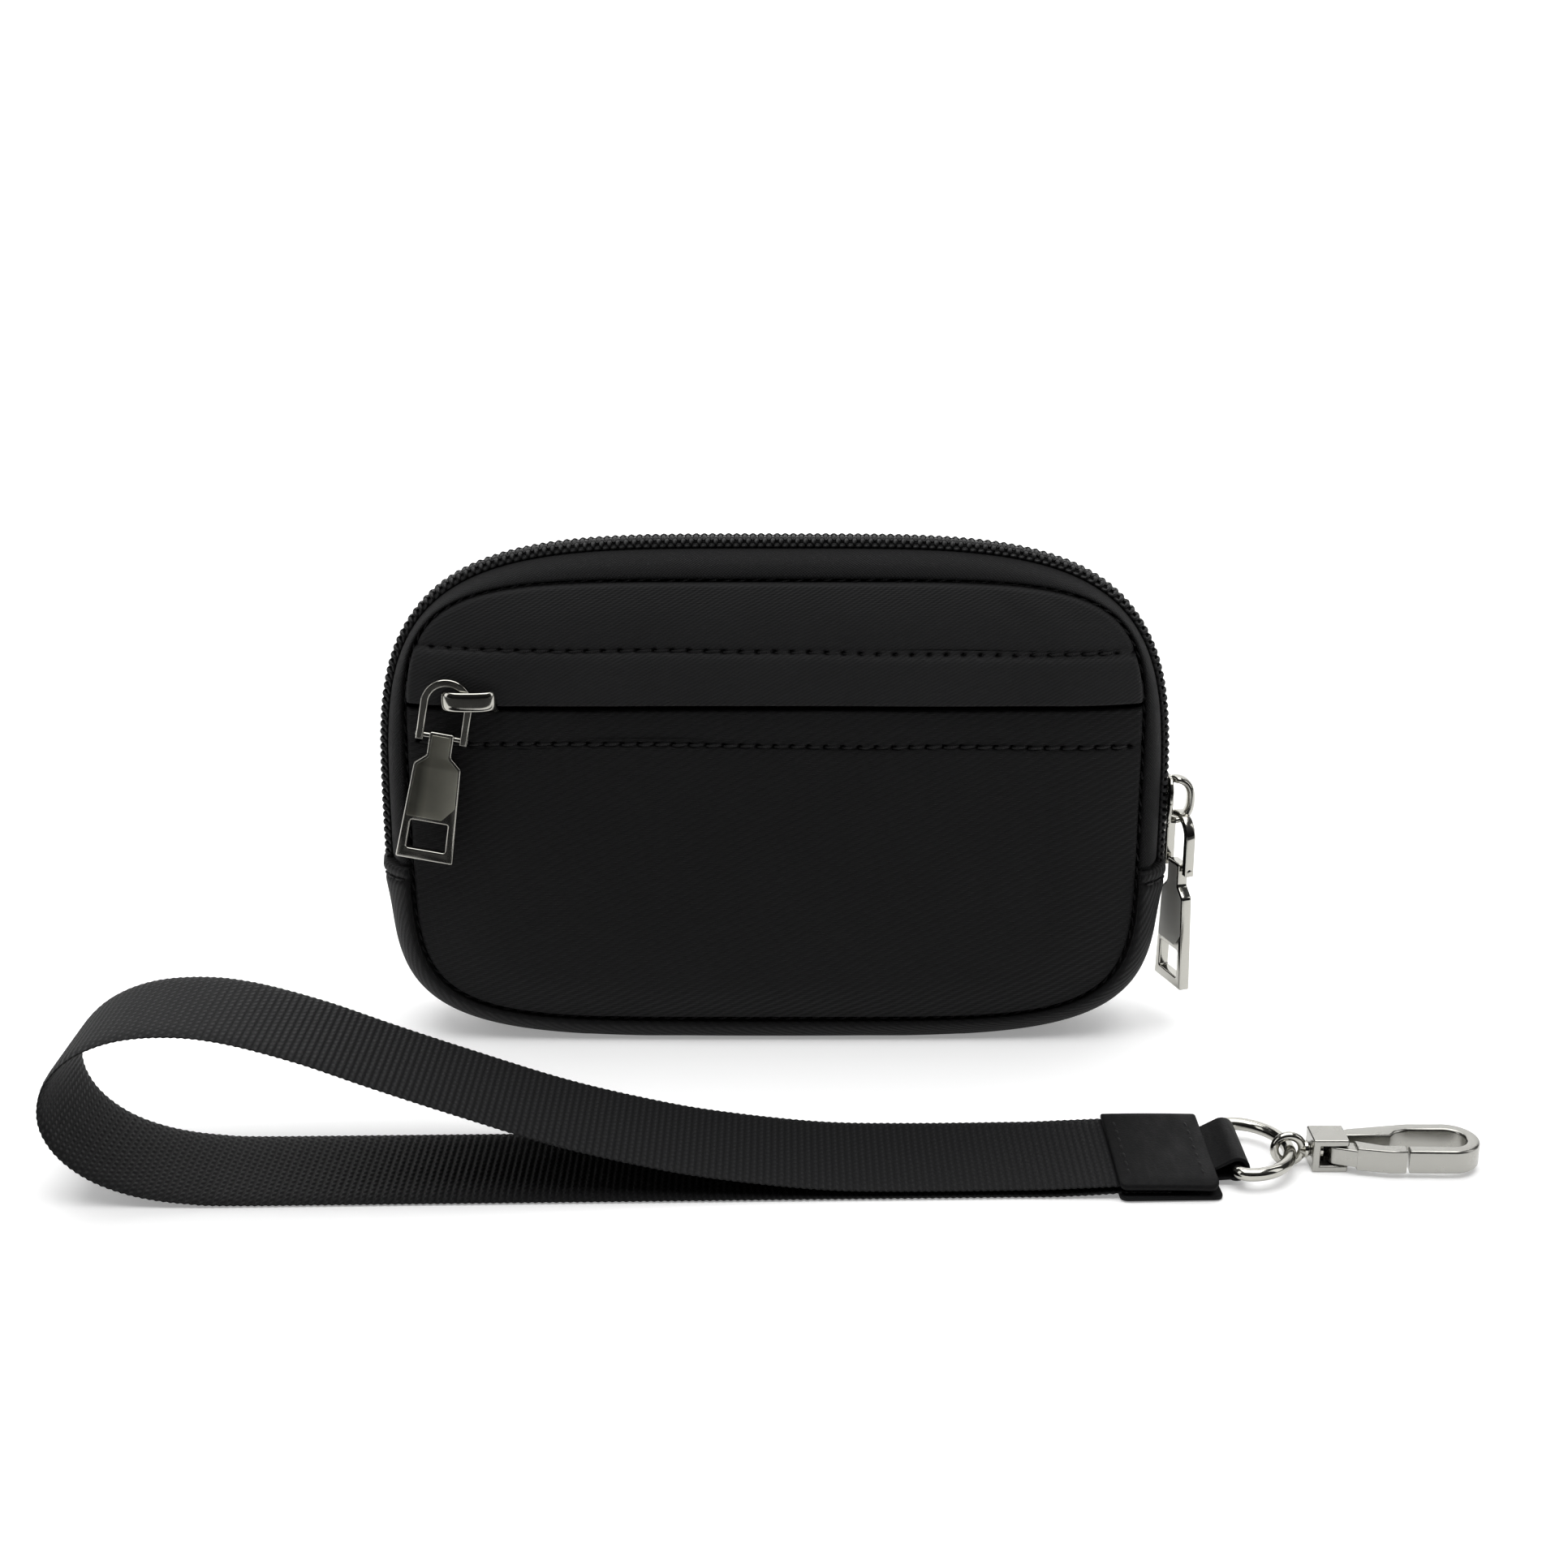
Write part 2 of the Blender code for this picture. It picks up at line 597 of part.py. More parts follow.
def build_main_pull(metal):
    """Slider on the right side; the zip runs up +Z there and the pull hangs outside."""
    surface = outline_half_width(MAIN_SLIDER_Z, CROWN)
    chain = COIL_LIFT + COIL_THICK
    wing_top = chain + 1.2
    slider = build_slider("main_slider", metal, (-3.2, -2.4), (chain + 0.4, wing_top),
                          wing_top - 0.2, wing_top + BAIL_RISE + BAIL_THICK,
                          (-BAIL_WIDE / 2, BAIL_WIDE / 2), 0.4)
    turn = axes_matrix((0, 0, 1), (0, -1, 0))
    place(slider, frame_empty("main_slider_axis", (surface, 0, MAIN_SLIDER_Z), turn), (0, 0, 0))
    foot = SLIDER_LONG / 2 - BAIL_SETBACK - BAIL_FOOT
    arch_x = surface + wing_top + LINK_STANDOFF
    arch_z = MAIN_SLIDER_Z - foot + 0.5 + LINK_STRIP / 2 - LINK_RADIUS
    angle = math.radians(MAIN_PULL_TWIST)
    pin_axis = (math.sin(angle), -math.cos(angle), 0)
    facing = (math.cos(angle), math.sin(angle), 0)
    build_pull("main", metal, (arch_x, 0, arch_z), axes_matrix(pin_axis, facing))


def build_pocket_pull(metal):
    """Slider at the pocket's left end, its fins passing through the slot."""
    tape = POCKET_CHAIN_Y
    chain = COIL_LIFT + COIL_THICK
    flap_face = HALF_DEPTH + PANEL_BULGE + FLAP_PROUD
    bail_base = flap_face + 0.45 + tape
    slider = build_slider("pocket_slider", metal, (-1.6, -0.9), (chain + 0.5, chain + 1.3),
                          bail_base, tape - POCKET_BAIL_TOP_Y, (-0.4, BAIL_WIDE + 0.6), 0.4)
    turn = axes_matrix((1, 0, 0), (0, 0, 1))
    frame = frame_empty("pocket_slider_axis", (POCKET_SLIDER_X, tape, SLOT_Z), turn)
    place(slider, frame, (0, 0, 0))
    angle = math.radians(POCKET_PULL_LEAN)
    pin_axis = (math.cos(angle), 0, -math.sin(angle))
    arch = (POCKET_ARCH_X, POCKET_LINK_Y, POCKET_ARCH_Z)
    build_pull("pocket", metal, arch, axes_matrix(pin_axis, (0, 1, 0)))


# --- wrist strap -------------------------------------------------------------------
def strap_route():
    """Side view of the webbing's middle, as (x, z) points, from cap to cap."""
    low, high = CAP_LAYERS_Z
    upper = [(WEB_END_X, high), (59.0, high), (51.0, WEB_TOP_Z + 0.35), (42.0, WEB_TOP_Z),
             (22.0, WEB_TOP_Z), (8.0, 2.3), (-8.0, 4.3), (-20.0, 6.6),
             (-36.0, 10.9), (-53.5, 17.1), (-66.0, 21.8), (-77.5, 26.3), (-89.0, 29.8),
             (-98.0, 31.0), (-106.8, 30.2), (-114.1, 27.1), (-118.9, 22.0), (-120.3, 16.0),
             (-118.3, 10.4), (-113.4, 5.7), (-106.4, 2.6), (-97.5, 1.0)]
    floor = WEB_THICK / 2
    return upper + [(-86.0, floor), (-40.0, floor), (10.0, floor), (42.0, floor),
                    (51.0, floor + 0.25), (59.0, low), (WEB_END_X, low)]


def smooth_route(points, spacing):
    """Even steps along a Catmull-Rom curve through the points."""
    points = np.array(points, dtype=float)
    ends = np.vstack([2 * points[0] - points[1], points, 2 * points[-1] - points[-2]])
    dense = []
    for i in range(1, len(ends) - 2):
        p0, p1, p2, p3 = ends[i - 1:i + 3]
        for t in np.linspace(0, 1, 24, endpoint=False):
            dense.append(0.5 * (2 * p1 + (p2 - p0) * t + (2 * p0 - 5 * p1 + 4 * p2 - p3) * t ** 2
                                + (3 * p1 - p0 - 3 * p2 + p3) * t ** 3))
    dense = np.array(dense + [points[-1]])
    travelled = np.concatenate([[0], np.cumsum(np.hypot(*np.diff(dense, axis=0).T))])
    count = int(round(travelled[-1] / spacing))
    marks = np.linspace(0, travelled[-1], count + 1)
    return np.array([np.interp(marks, travelled, dense[:, k]) for k in range(2)]).T


def strap_middle_y(x):
    """The strap's middle drifts to the front along the loop."""
    share = min(1.0, max(0.0, (40.0 - x) / 140.0))
    return STRAP_Y - WEB_SKEW * share


def build_webbing(material):
    route = smooth_route(strap_route(), 5.5)
    route[:, 1] = np.maximum(route[:, 1], WEB_THICK / 2)
    tangents = np.gradient(route, axis=0)
    tangents /= np.hypot(*tangents.T)[:, None]
    half_wide, half_thick = WEB_WIDE / 2, WEB_THICK / 2
    rings = []
    for (x, z), (tx, tz) in zip(route, tangents):
        nx, nz = -tz * half_thick, tx * half_thick
        middle = strap_middle_y(x)
        rings.append([(x + nx, middle - half_wide, z + nz), (x + nx, middle + half_wide, z + nz),
                      (x - nx, middle + half_wide, z - nz), (x - nx, middle - half_wide, z - nz)])
    return add_object("strap_webbing", swept_mesh("strap_webbing", rings), material, 40)


def build_end_cap(material):
    """Leather sleeve sewn over the webbing's two ends."""
    low, high = CAP_X
    half = CAP_WIDE / 2
    top = CAP_LAYERS_Z[1] + WEB_THICK / 2 + 0.25 + CAP_THICK
    body = box_mesh("end_cap", (low, STRAP_Y - half, 0), (high, STRAP_Y + half, top))
    cap = add_object("end_cap", body, material)
    inside = half - 0.7
    cut = box_mesh("cut", (low - 1, STRAP_Y - inside, CAP_THICK),
                   (high + 1, STRAP_Y + inside, top - CAP_THICK))
    return combine(cap, "DIFFERENCE", [cut])


def build_ring_tab(material):
    """Leather strip folded round the ring's bar, both ends inside the cap."""
    inner = RING_WIRE + GAP
    outer = inner + TAB_STRIP_THICK
    centre = (RING_BAR_X, RING_Z)
    start, mouth = WEB_END_X + GAP, CAP_X[1] - 0.4
    low, high = CAP_THICK + GAP, CAP_LAYERS_Z[1] + WEB_THICK / 2 - 0.05
    profile = ([(start, high), (mouth, high)] + arc(centre, outer, 118, -112, 12)
               + [(mouth, low), (start, low), (start, low + TAB_STRIP_THICK),
                  (mouth, low + TAB_STRIP_THICK)] + arc(centre, inner, -112, 118, 10)
               + [(mouth, high - TAB_STRIP_THICK), (start, high - TAB_STRIP_THICK)])
    half = TAB_STRIP_WIDE / 2
    sections = [[(x, y, z) for x, z in profile] for y in (STRAP_Y - half, STRAP_Y + half)]
    return add_object("ring_tab", swept_mesh("ring_tab", sections), material, 40)


def wire_mesh(name, path, normals, radius, closed, sides=10):
    """Round wire along a path; normals are square to it."""
    path = [Vector(p) for p in path]
    rings = []
    for i, point in enumerate(path):
        before = path[i - 1] if closed or i else path[0]
        after = path[(i + 1) % len(path)] if closed or i < len(path) - 1 else path[-1]
        along = (after - before).normalized()
        up = Vector(normals)
        side = along.cross(up).normalized()
        ring = []
        for k in range(sides):
            angle = 2 * math.pi * k / sides
            offset = side * math.cos(angle) + up * math.sin(angle)
            ring.append(tuple(point + offset * radius))
        rings.append(ring)
    return swept_mesh(name, rings, closed)


def build_d_ring(metal):
    """Straight bar at the origin of its joint and a round bow towards the hook."""
    half = RING_INNER_WIDE / 2 + RING_WIRE
    corner = 2.0
    path = [(0, y) for y in np.linspace(-half + corner, half - corner, 5)]
    path += [(corner + corner * math.cos(a), half - corner + corner * math.sin(a))
             for a in np.radians([135, 90])]
    bow_start = corner
    reach = RING_REACH - bow_start
    bow = [(bow_start + reach * math.cos(a), half * math.sin(a))
           for a in np.radians(np.linspace(78, -78, 14))]
    path += bow
    path += [(corner + corner * math.cos(a), -half + corner + corner * math.sin(a))
             for a in np.radians([-90, -135])]
    points = [(x, y, 0) for x, y in path]
    ring = add_object("d_ring", wire_mesh("d_ring", points, (0, 0, 1), RING_WIRE, True), metal, 40)
    return place(ring, None, (RING_BAR_X, STRAP_Y, RING_Z))


def build_hook_eye(metal):
    """Swivel eye round the ring's wire, with a riveted shank into the block."""
    angles = np.radians(np.arange(0, 360, 22.5))
    path = [(EYE_RADIUS * math.cos(a), 0, EYE_RADIUS * math.sin(a)) for a in angles]
    eye = add_object("hook_eye", wire_mesh("hook_eye", path, (0, 1, 0), EYE_WIRE, True, 8), metal, 40)
    middle = RING_BAR_X + RING_REACH
    left = BLOCK_X[0] - middle
    collar = cylinder_mesh("collar", (EYE_RADIUS, 0, 0), (left - GAP, 0, 0), 1.5)
    shank = cylinder_mesh("shank", (left - 0.6, 0, 0), (left + 1.9, 0, 0), 0.9)
    head = cylinder_mesh("head", (left + 1.5, 0, 0), (left + 2.2, 0, 0), 1.5)
    combine(eye, "UNION", [collar, shank, head])
    return place(eye, None, (middle, STRAP_Y, RING_Z))


def hook_outline():
    """Hook seen from above, block not included: back arm, bow and nose."""
    back = HOOK_WIDE / 2
    bow = back
    centre = (HOOK_TIP_X - bow, 0)
    inner = bow - 2.2
    start = BLOCK_X[1] - 0.5
    outer_edge = [(start, 2.9), (start + 1.5, 3.6), (centre[0] - 6, back)]
    outer_edge += arc(centre, bow, 90, -90, 14)
    nose = [(GATE_END_X + GAP - 0.2, -back + 0.15), (GATE_END_X + GAP, -back + 0.15 + GATE_DEEP)]
    inner_edge = arc(centre, inner, -90, 90, 12)
    shelf = [(centre[0] - 6, back - 2.2), (start + 8.2, 2.4), (start + 6.8, 0.9), (start, 0.9)]
    return outer_edge + nose + inner_edge + shelf


def build_hook_body(metal):
    """Cast hook: forked block, back arm, bow and nose, round the swivel axis."""
    half = HOOK_THICK / 2
    block = BLOCK_SIZE / 2
    hook = add_object("hook_body", box_mesh("hook_body", (BLOCK_X[0], -block, -block),
                                            (BLOCK_X[1], block, block)), metal)
    combine(hook, "UNION", [prism_mesh("bow", hook_outline(), -half, half)])
    fork = 1.2
    cavity = box_mesh("cavity", (BLOCK_X[0] + 1.3, -block - 1, -block + fork),
                      (BLOCK_X[1] + 0.4, block - 1.0, block - fork))
    left = BLOCK_X[0]
    bore = cylinder_mesh("bore", (left - 1, 0, 0), (left + 2, 0, 0), 1.15)
    pin_x, pin_y = GATE_PIN
    pin_y -= STRAP_Y
    hole = cylinder_mesh("hole", (pin_x, pin_y, -block - 1), (pin_x, pin_y, block + 1), 0.65, 12)
    combine(hook, "DIFFERENCE", [cavity, bore, hole])
    return place(hook, None, (0, STRAP_Y, RING_Z))


def build_gate(metal):
    """Gate from its knuckle in the fork to the split with the nose."""
    pin_x, pin_y = GATE_PIN
    front = -HOOK_WIDE / 2 + 0.15 - (pin_y - STRAP_Y)
    length = GATE_END_X - pin_x
    outline = arc((0, 0), 1.55, 60, 240, 8)
    outline += [(3.2, -2.9), (length - 3.0, front), (length - GATE_SLANT, front),
                (length, front + GATE_DEEP)]
    outline += [(length - 4.0, front + GATE_DEEP + 0.2), (4.0, 0.6)]
    half = BLOCK_SIZE / 2 - 1.2 - GAP
    gate = add_object("hook_gate", prism_mesh("hook_gate", outline, -half, half), metal, 40)
    hole = cylinder_mesh("hole", (0, 0, -4), (0, 0, 4), 0.75, 12)
    combine(gate, "DIFFERENCE", [hole])
    return place(gate, None, (pin_x, pin_y, RING_Z))


def build_gate_pin(metal):
    half = BLOCK_SIZE / 2 - 0.1
    pin = add_object("gate_pin", cylinder_mesh("gate_pin", (0, 0, -half), (0, 0, half), 0.5, 12), metal, 30)
    return place(pin, None, (GATE_PIN[0], GATE_PIN[1], RING_Z))


def build_gate_spring(steel):
    """Leaf spring in the fork, bearing on the back of the gate."""
    pin_x, pin_y = GATE_PIN
    leaf = [(-1.2, 1.95), (2.6, 1.95), (2.6, 2.3), (-1.2, 2.3)]
    spring = add_object("gate_spring", prism_mesh("gate_spring", leaf, -1.2, 1.2), steel)
    return place(spring, None, (pin_x, pin_y + 1.2, RING_Z))


def build_strap(web, leather, metal, steel):
    build_webbing(web)
    build_end_cap(leather)
    build_ring_tab(leather)
    build_d_ring(metal)
    build_hook_eye(metal)
    build_hook_body(metal)
    build_gate(metal)
    build_gate_pin(metal)
    build_gate_spring(steel)


def build_all():
    clear_scene()
    shell = make_material("twill_shell", (0.012, 0.012, 0.013), 0.72)
    lining = make_material("lining", (0.02, 0.02, 0.022), 0.6)
    foam = make_material("foam", (0.25, 0.25, 0.25), 0.95)
    tape = make_material("zip_tape", (0.014, 0.014, 0.015), 0.8)
    coil = make_material("zip_coil", (0.015, 0.015, 0.016), 0.45)
    binding = make_material("binding", (0.01, 0.01, 0.01), 0.85)
    webbing = make_material("webbing", (0.018, 0.018, 0.02), 0.75)
    leather = make_material("leather", (0.016, 0.016, 0.017), 0.55)
    nickel = make_material("nickel", (0.72, 0.71, 0.68), 0.2, 1.0)
    steel = make_material("spring_steel", (0.5, 0.5, 0.5), 0.35, 1.0)
    build_panels(shell, lining, foam)
    build_gusset(shell, lining)
    build_main_zip(tape, coil)
    build_seam_bindings(binding)
    build_pocket_zip(tape, coil)
    build_main_pull(nickel)
    build_pocket_pull(nickel)
    build_strap(webbing, leather, nickel, steel)


build_all()
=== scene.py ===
"""Looks of the small zippered pouch and its wrist strap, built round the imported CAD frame.

Lengths are written in millimetres and turned into metres when a mesh is made.
-Y is the front, +Z is up, and the floor is at z = 0, as in the frame.
"""
import json
import math

import bmesh
import bpy
import numpy as np
from mathutils import Matrix, Vector


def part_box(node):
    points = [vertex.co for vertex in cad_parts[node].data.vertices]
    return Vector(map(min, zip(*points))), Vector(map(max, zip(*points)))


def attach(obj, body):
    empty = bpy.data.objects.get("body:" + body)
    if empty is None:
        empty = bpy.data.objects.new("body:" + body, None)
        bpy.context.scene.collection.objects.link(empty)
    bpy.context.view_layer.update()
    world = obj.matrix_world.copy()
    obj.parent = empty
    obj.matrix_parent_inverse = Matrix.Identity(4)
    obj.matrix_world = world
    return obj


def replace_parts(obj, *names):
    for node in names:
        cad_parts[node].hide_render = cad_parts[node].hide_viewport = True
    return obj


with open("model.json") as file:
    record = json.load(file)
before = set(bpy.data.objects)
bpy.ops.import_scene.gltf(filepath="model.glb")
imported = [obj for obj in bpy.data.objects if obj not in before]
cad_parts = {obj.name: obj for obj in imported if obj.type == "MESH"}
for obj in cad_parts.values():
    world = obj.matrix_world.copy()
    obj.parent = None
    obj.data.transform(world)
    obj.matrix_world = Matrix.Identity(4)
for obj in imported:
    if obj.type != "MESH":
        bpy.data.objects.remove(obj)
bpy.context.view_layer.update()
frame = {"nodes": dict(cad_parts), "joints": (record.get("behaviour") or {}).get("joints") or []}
MM = 0.001
MERGE = 0.002                  # points closer than this become one
EDGE_ANGLE = 38                # degrees from which an edge is rounded

# --- the pouch's outlines, as in the CAD model ---------------------------------------
HALF_DEPTH = 10.5
PANEL_BULGE = 2.4
BULGE_START = 0.78
RAY_CENTRE_Z = 42.0
SEAM = dict(a=68.5, zc=45.8, top=45.2, bottom=41.2, n_top=5.4, n_bottom=5.2)
CROWN = dict(a=73.4, zc=38.4, top=57.3, bottom=39.6, n_top=4.0, n_bottom=4.3)
SEAM_GAP = 0.3                 # from the seam line to either side's fabric
SEAM_LOW = SEAM["zc"] - SEAM["bottom"] + 0.35
SEAM_HIGH = SEAM["zc"] + SEAM["top"] - 0.35
GUSSET_PROUD = 0.9
BAND_HALF = HALF_DEPTH - 0.1   # half the width of the gusset and the zip, across the pouch
SKIN_THICK = 0.5
SKIRT = 1.6                    # how far cloth runs in behind a seam
CHAIN_CLEAR = 5.5              # half the width over which cloth rises to clear the chain
ZIP_END_Z = 33.0
FOLD_Z = dict(left=35.2, right=34.3)   # folded ends of the gusset, over the zip's ends

# --- front pocket --------------------------------------------------------------------
STITCH_LINE_Z = 78.2
SLOT_Z = 67.7
SLOT_HALF = 0.5
WELT_BOTTOM_Z = 60.4
FLAP_PROUD = 0.75
LINE_TILT = -0.0085            # the stitch lines drop a little to the right
STITCH_PITCH = 3.13
LINE_GROOVE = 0.62             # depth of the dent along the two stitch lines
WELT_GROOVE = 0.55
UPPER_PHASE, LOWER_PHASE = 0.4, 1.3    # of the soft unevenness, one for each panel
EDGE_ROLL = 0.9                # radius of the fabric's turn into the seams

# --- studio --------------------------------------------------------------------------
CAMERA_PLACE = (0.00175, -0.4135, 0.1833)
CAMERA_TILT = 72.0             # 18 degrees below level
LENS = 52.17
PAPER = 0.86
FLOOR_GLOW = 0.28
WALL_GLOW = 0.4
WALL_DROP = 0.003              # metres below the floor, so that the two never meet
WORLD_FRONT, WORLD_BACK, WORLD_TOP = 0.2, 0.5, 1.25

# --- zip chain -----------------------------------------------------------------------
TOOTH_PITCH = 1.5
COIL_REACH = 3.05              # outer bend of a tooth, from the chain's middle
COIL_WIRE = 0.36
COIL_LOW = 0.3
COIL_HIGH = 1.14
COIL_ASIDE = (0.3, 0.55, 0.77)  # any direction that the wire never takes

# --- wrist strap ---------------------------------------------------------------------
STRAP_Y = -61.5
WEB_WIDE = 25.0
WEB_THICK = 1.0
WEB_SKEW = 3.3
WEB_TOP_Z = 1.8
WEB_END_X = 66.5
WEB_RIB = 1.16
CAP_LAYERS_Z = (1.25, 2.5)
HOOK_TIP_X = 121.0
HOOK_WIDE = 10.8
GATE_END_X = 107.8
GATE_DEEP = 2.3


def corners(node):
    """Lowest and highest corner of a CAD node, in millimetres."""
    low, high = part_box(node)
    return np.array(low) / MM, np.array(high) / MM


def joint_place(name):
    """A joint's point in millimetres and its axis."""
    joint = next(j for j in frame["joints"] if j["name"] == name)
    return np.array(joint["pos_m"]) / MM, Vector(joint["axis"]).normalized()


def put(name, data):
    """Adds an object to the scene."""
    made = bpy.data.objects.new(name, data)
    bpy.context.scene.collection.objects.link(made)
    return made


# --- camera, floor and light ---------------------------------------------------------
def make_camera():
    data = bpy.data.cameras.new("camera")
    data.sensor_width = 36.0
    data.lens = LENS
    data.clip_start, data.clip_end = 0.01, 20.0
    camera = put("camera", data)
    camera.location = CAMERA_PLACE
    camera.rotation_euler = (math.radians(CAMERA_TILT), 0, 0)
    bpy.context.scene.camera = camera


def make_area_light(name, place, target, size, watts):
    data = bpy.data.lights.new(name, "AREA")
    data.shape = "RECTANGLE"
    data.size, data.size_y = size
    data.energy = watts
    light = put(name, data)
    light.location = place
    aim = Vector(target) - Vector(place)
    light.rotation_euler = aim.to_track_quat("-Z", "Y").to_euler()


def make_world():
    """Bright overhead, pale behind and at the sides, and dim on the camera's side."""
    world = bpy.data.worlds.new("studio")
    world.use_nodes = True
    bpy.context.scene.world = world
    nodes = Nodes(world.node_tree)
    parts = nodes.split(nodes.node("ShaderNodeTexCoord").outputs["Generated"])
    rise = nodes.range(parts["Z"], 0.1, 0.75, 0.0, 1.0, "SMOOTHSTEP")
    back = nodes.range(parts["Y"], -0.75, 0.2, 0.0, 1.0, "SMOOTHSTEP")
    around = nodes.range(back, 0.0, 1.0, WORLD_FRONT, WORLD_BACK)
    mix = nodes.node("ShaderNodeMix", {"Factor": rise, "A": around, "B": WORLD_TOP})
    nodes.tree.links.new(mix.outputs["Result"], nodes.tree.nodes["Background"].inputs["Strength"])


def make_staged(name, points, faces, colour, roughness, glow=0.0, grain=(0.8, 0.02, 0.2)):
    """Part of the studio, not of the object. grain is a noise's scale, height and strength."""
    mesh = bpy.data.meshes.new(name)
    mesh.from_pydata(points, [], faces)
    mesh.shade_smooth()
    paper = Surface(name + "_paper", (colour,) * 3, roughness)
    paper.set(Emission_Color=(1, 1, 1, 1), Emission_Strength=glow)
    scale, height, strength = grain
    paper.bump(paper.noise(paper.object_mm(), scale, 3.0), height, strength)
    mesh.materials.append(paper.material)
    made = put(name, mesh)
    return made


def turned_up(start, height, radius, step):
    """Profile that runs level to a start and then curves up to a height."""
    angles = np.radians(np.arange(step, 91, step))
    curve = [(start + radius * math.sin(a), radius - radius * math.cos(a)) for a in angles]
    return curve + [(start + radius, height)]


def make_floor():
    """Pale floor that turns up into a backdrop far behind."""
    rows = [(-1.2, 0.0), (0.9, 0.0)] + turned_up(0.9, 2.2, 0.5, 6)
    points = [(x, y, z) for y, z in rows for x in (-2.2, 2.2)]
    make_staged("floor", points, grid_faces(len(rows), 2).tolist(), PAPER, 0.7, FLOOR_GLOW)


def make_surround():
    """Pale wall all round, seen by the camera alone, so that every view has a plain ground."""
    profile = [(0.9, 0.0), (2.6, 0.0)] + turned_up(2.6, 3.6 + WALL_DROP, 0.6, 9)
    turn = full_turn(72)
    points = [(r * math.cos(a), r * math.sin(a), z - WALL_DROP) for r, z in profile for a in turn]
    faces = grid_faces(len(profile), len(turn), close_columns=True).tolist()
    wall = make_staged("surround", points, faces, PAPER, 0.8, WALL_GLOW)
    wall.data.flip_normals()
    for ray in ("diffuse", "glossy", "shadow", "transmission"):
        setattr(wall, "visible_" + ray, False)


def make_card():
    """Dark card on the floor in front, seen only in the metal's reflections."""
    near, far, half, level = -0.12, -1.15, 1.1, 0.002
    points = [(-half, far, level), (half, far, level), (half, near, level), (-half, near, level)]
    card = make_staged("dark_card", points, [(0, 1, 2, 3)], 0.03, 0.9, grain=(0.6, 0.1, 0.3))
    for ray in ("camera", "diffuse", "shadow"):
        setattr(card, "visible_" + ray, False)


def make_studio():
    make_world()
    make_surround()
    make_card()
    make_area_light("top_box", (0.0, -0.15, 1.1), (0, 0, 0.02), (1.2, 1.0), 13.0)
    make_area_light("left_box", (-0.95, -0.35, 0.45), (0, 0, 0.04), (0.35, 0.8), 1.4)
    make_area_light("right_box", (1.0, -0.25, 0.5), (0.05, 0, 0.04), (0.35, 0.8), 1.4)
    make_area_light("back_box", (0.0, 0.75, 1.3), (0, 1.3, 0.6), (2.4, 0.6), 16.0)
    view = bpy.context.scene.view_settings
    view.view_transform = "Standard"
    view.look = "None"


# --- material nodes ------------------------------------------------------------------
class Nodes:
    """Short ways to add nodes to a tree."""

    def __init__(self, tree):
        self.tree = tree

    def node(self, kind, inputs=(), **settings):
        made = self.tree.nodes.new(kind)
        for name, value in settings.items():
            setattr(made, name, value)
        for key, value in dict(inputs).items():
            if isinstance(value, bpy.types.NodeSocket):
                self.tree.links.new(value, made.inputs[key])
            else:
                made.inputs[key].default_value = value
        return made

    def math(self, operation, a, b=0.0):
        return self.node("ShaderNodeMath", {0: a, 1: b}, operation=operation).outputs[0]

    def scaled(self, value, factor):
        return self.math("MULTIPLY", value, factor)

    def total(self, *values):
        """Sum of sockets and numbers."""
        summed = values[0]
        for value in values[1:]:
            summed = self.math("ADD", summed, value)
        return summed

    def range(self, value, low, high, new_low, new_high, kind="LINEAR"):
        made = self.node("ShaderNodeMapRange", {"Value": value, "From Min": low, "From Max": high,
                                                "To Min": new_low, "To Max": new_high},
                         interpolation_type=kind)
        return made.outputs["Result"]

    def split(self, place):
        return self.node("ShaderNodeSeparateXYZ", {0: place}).outputs


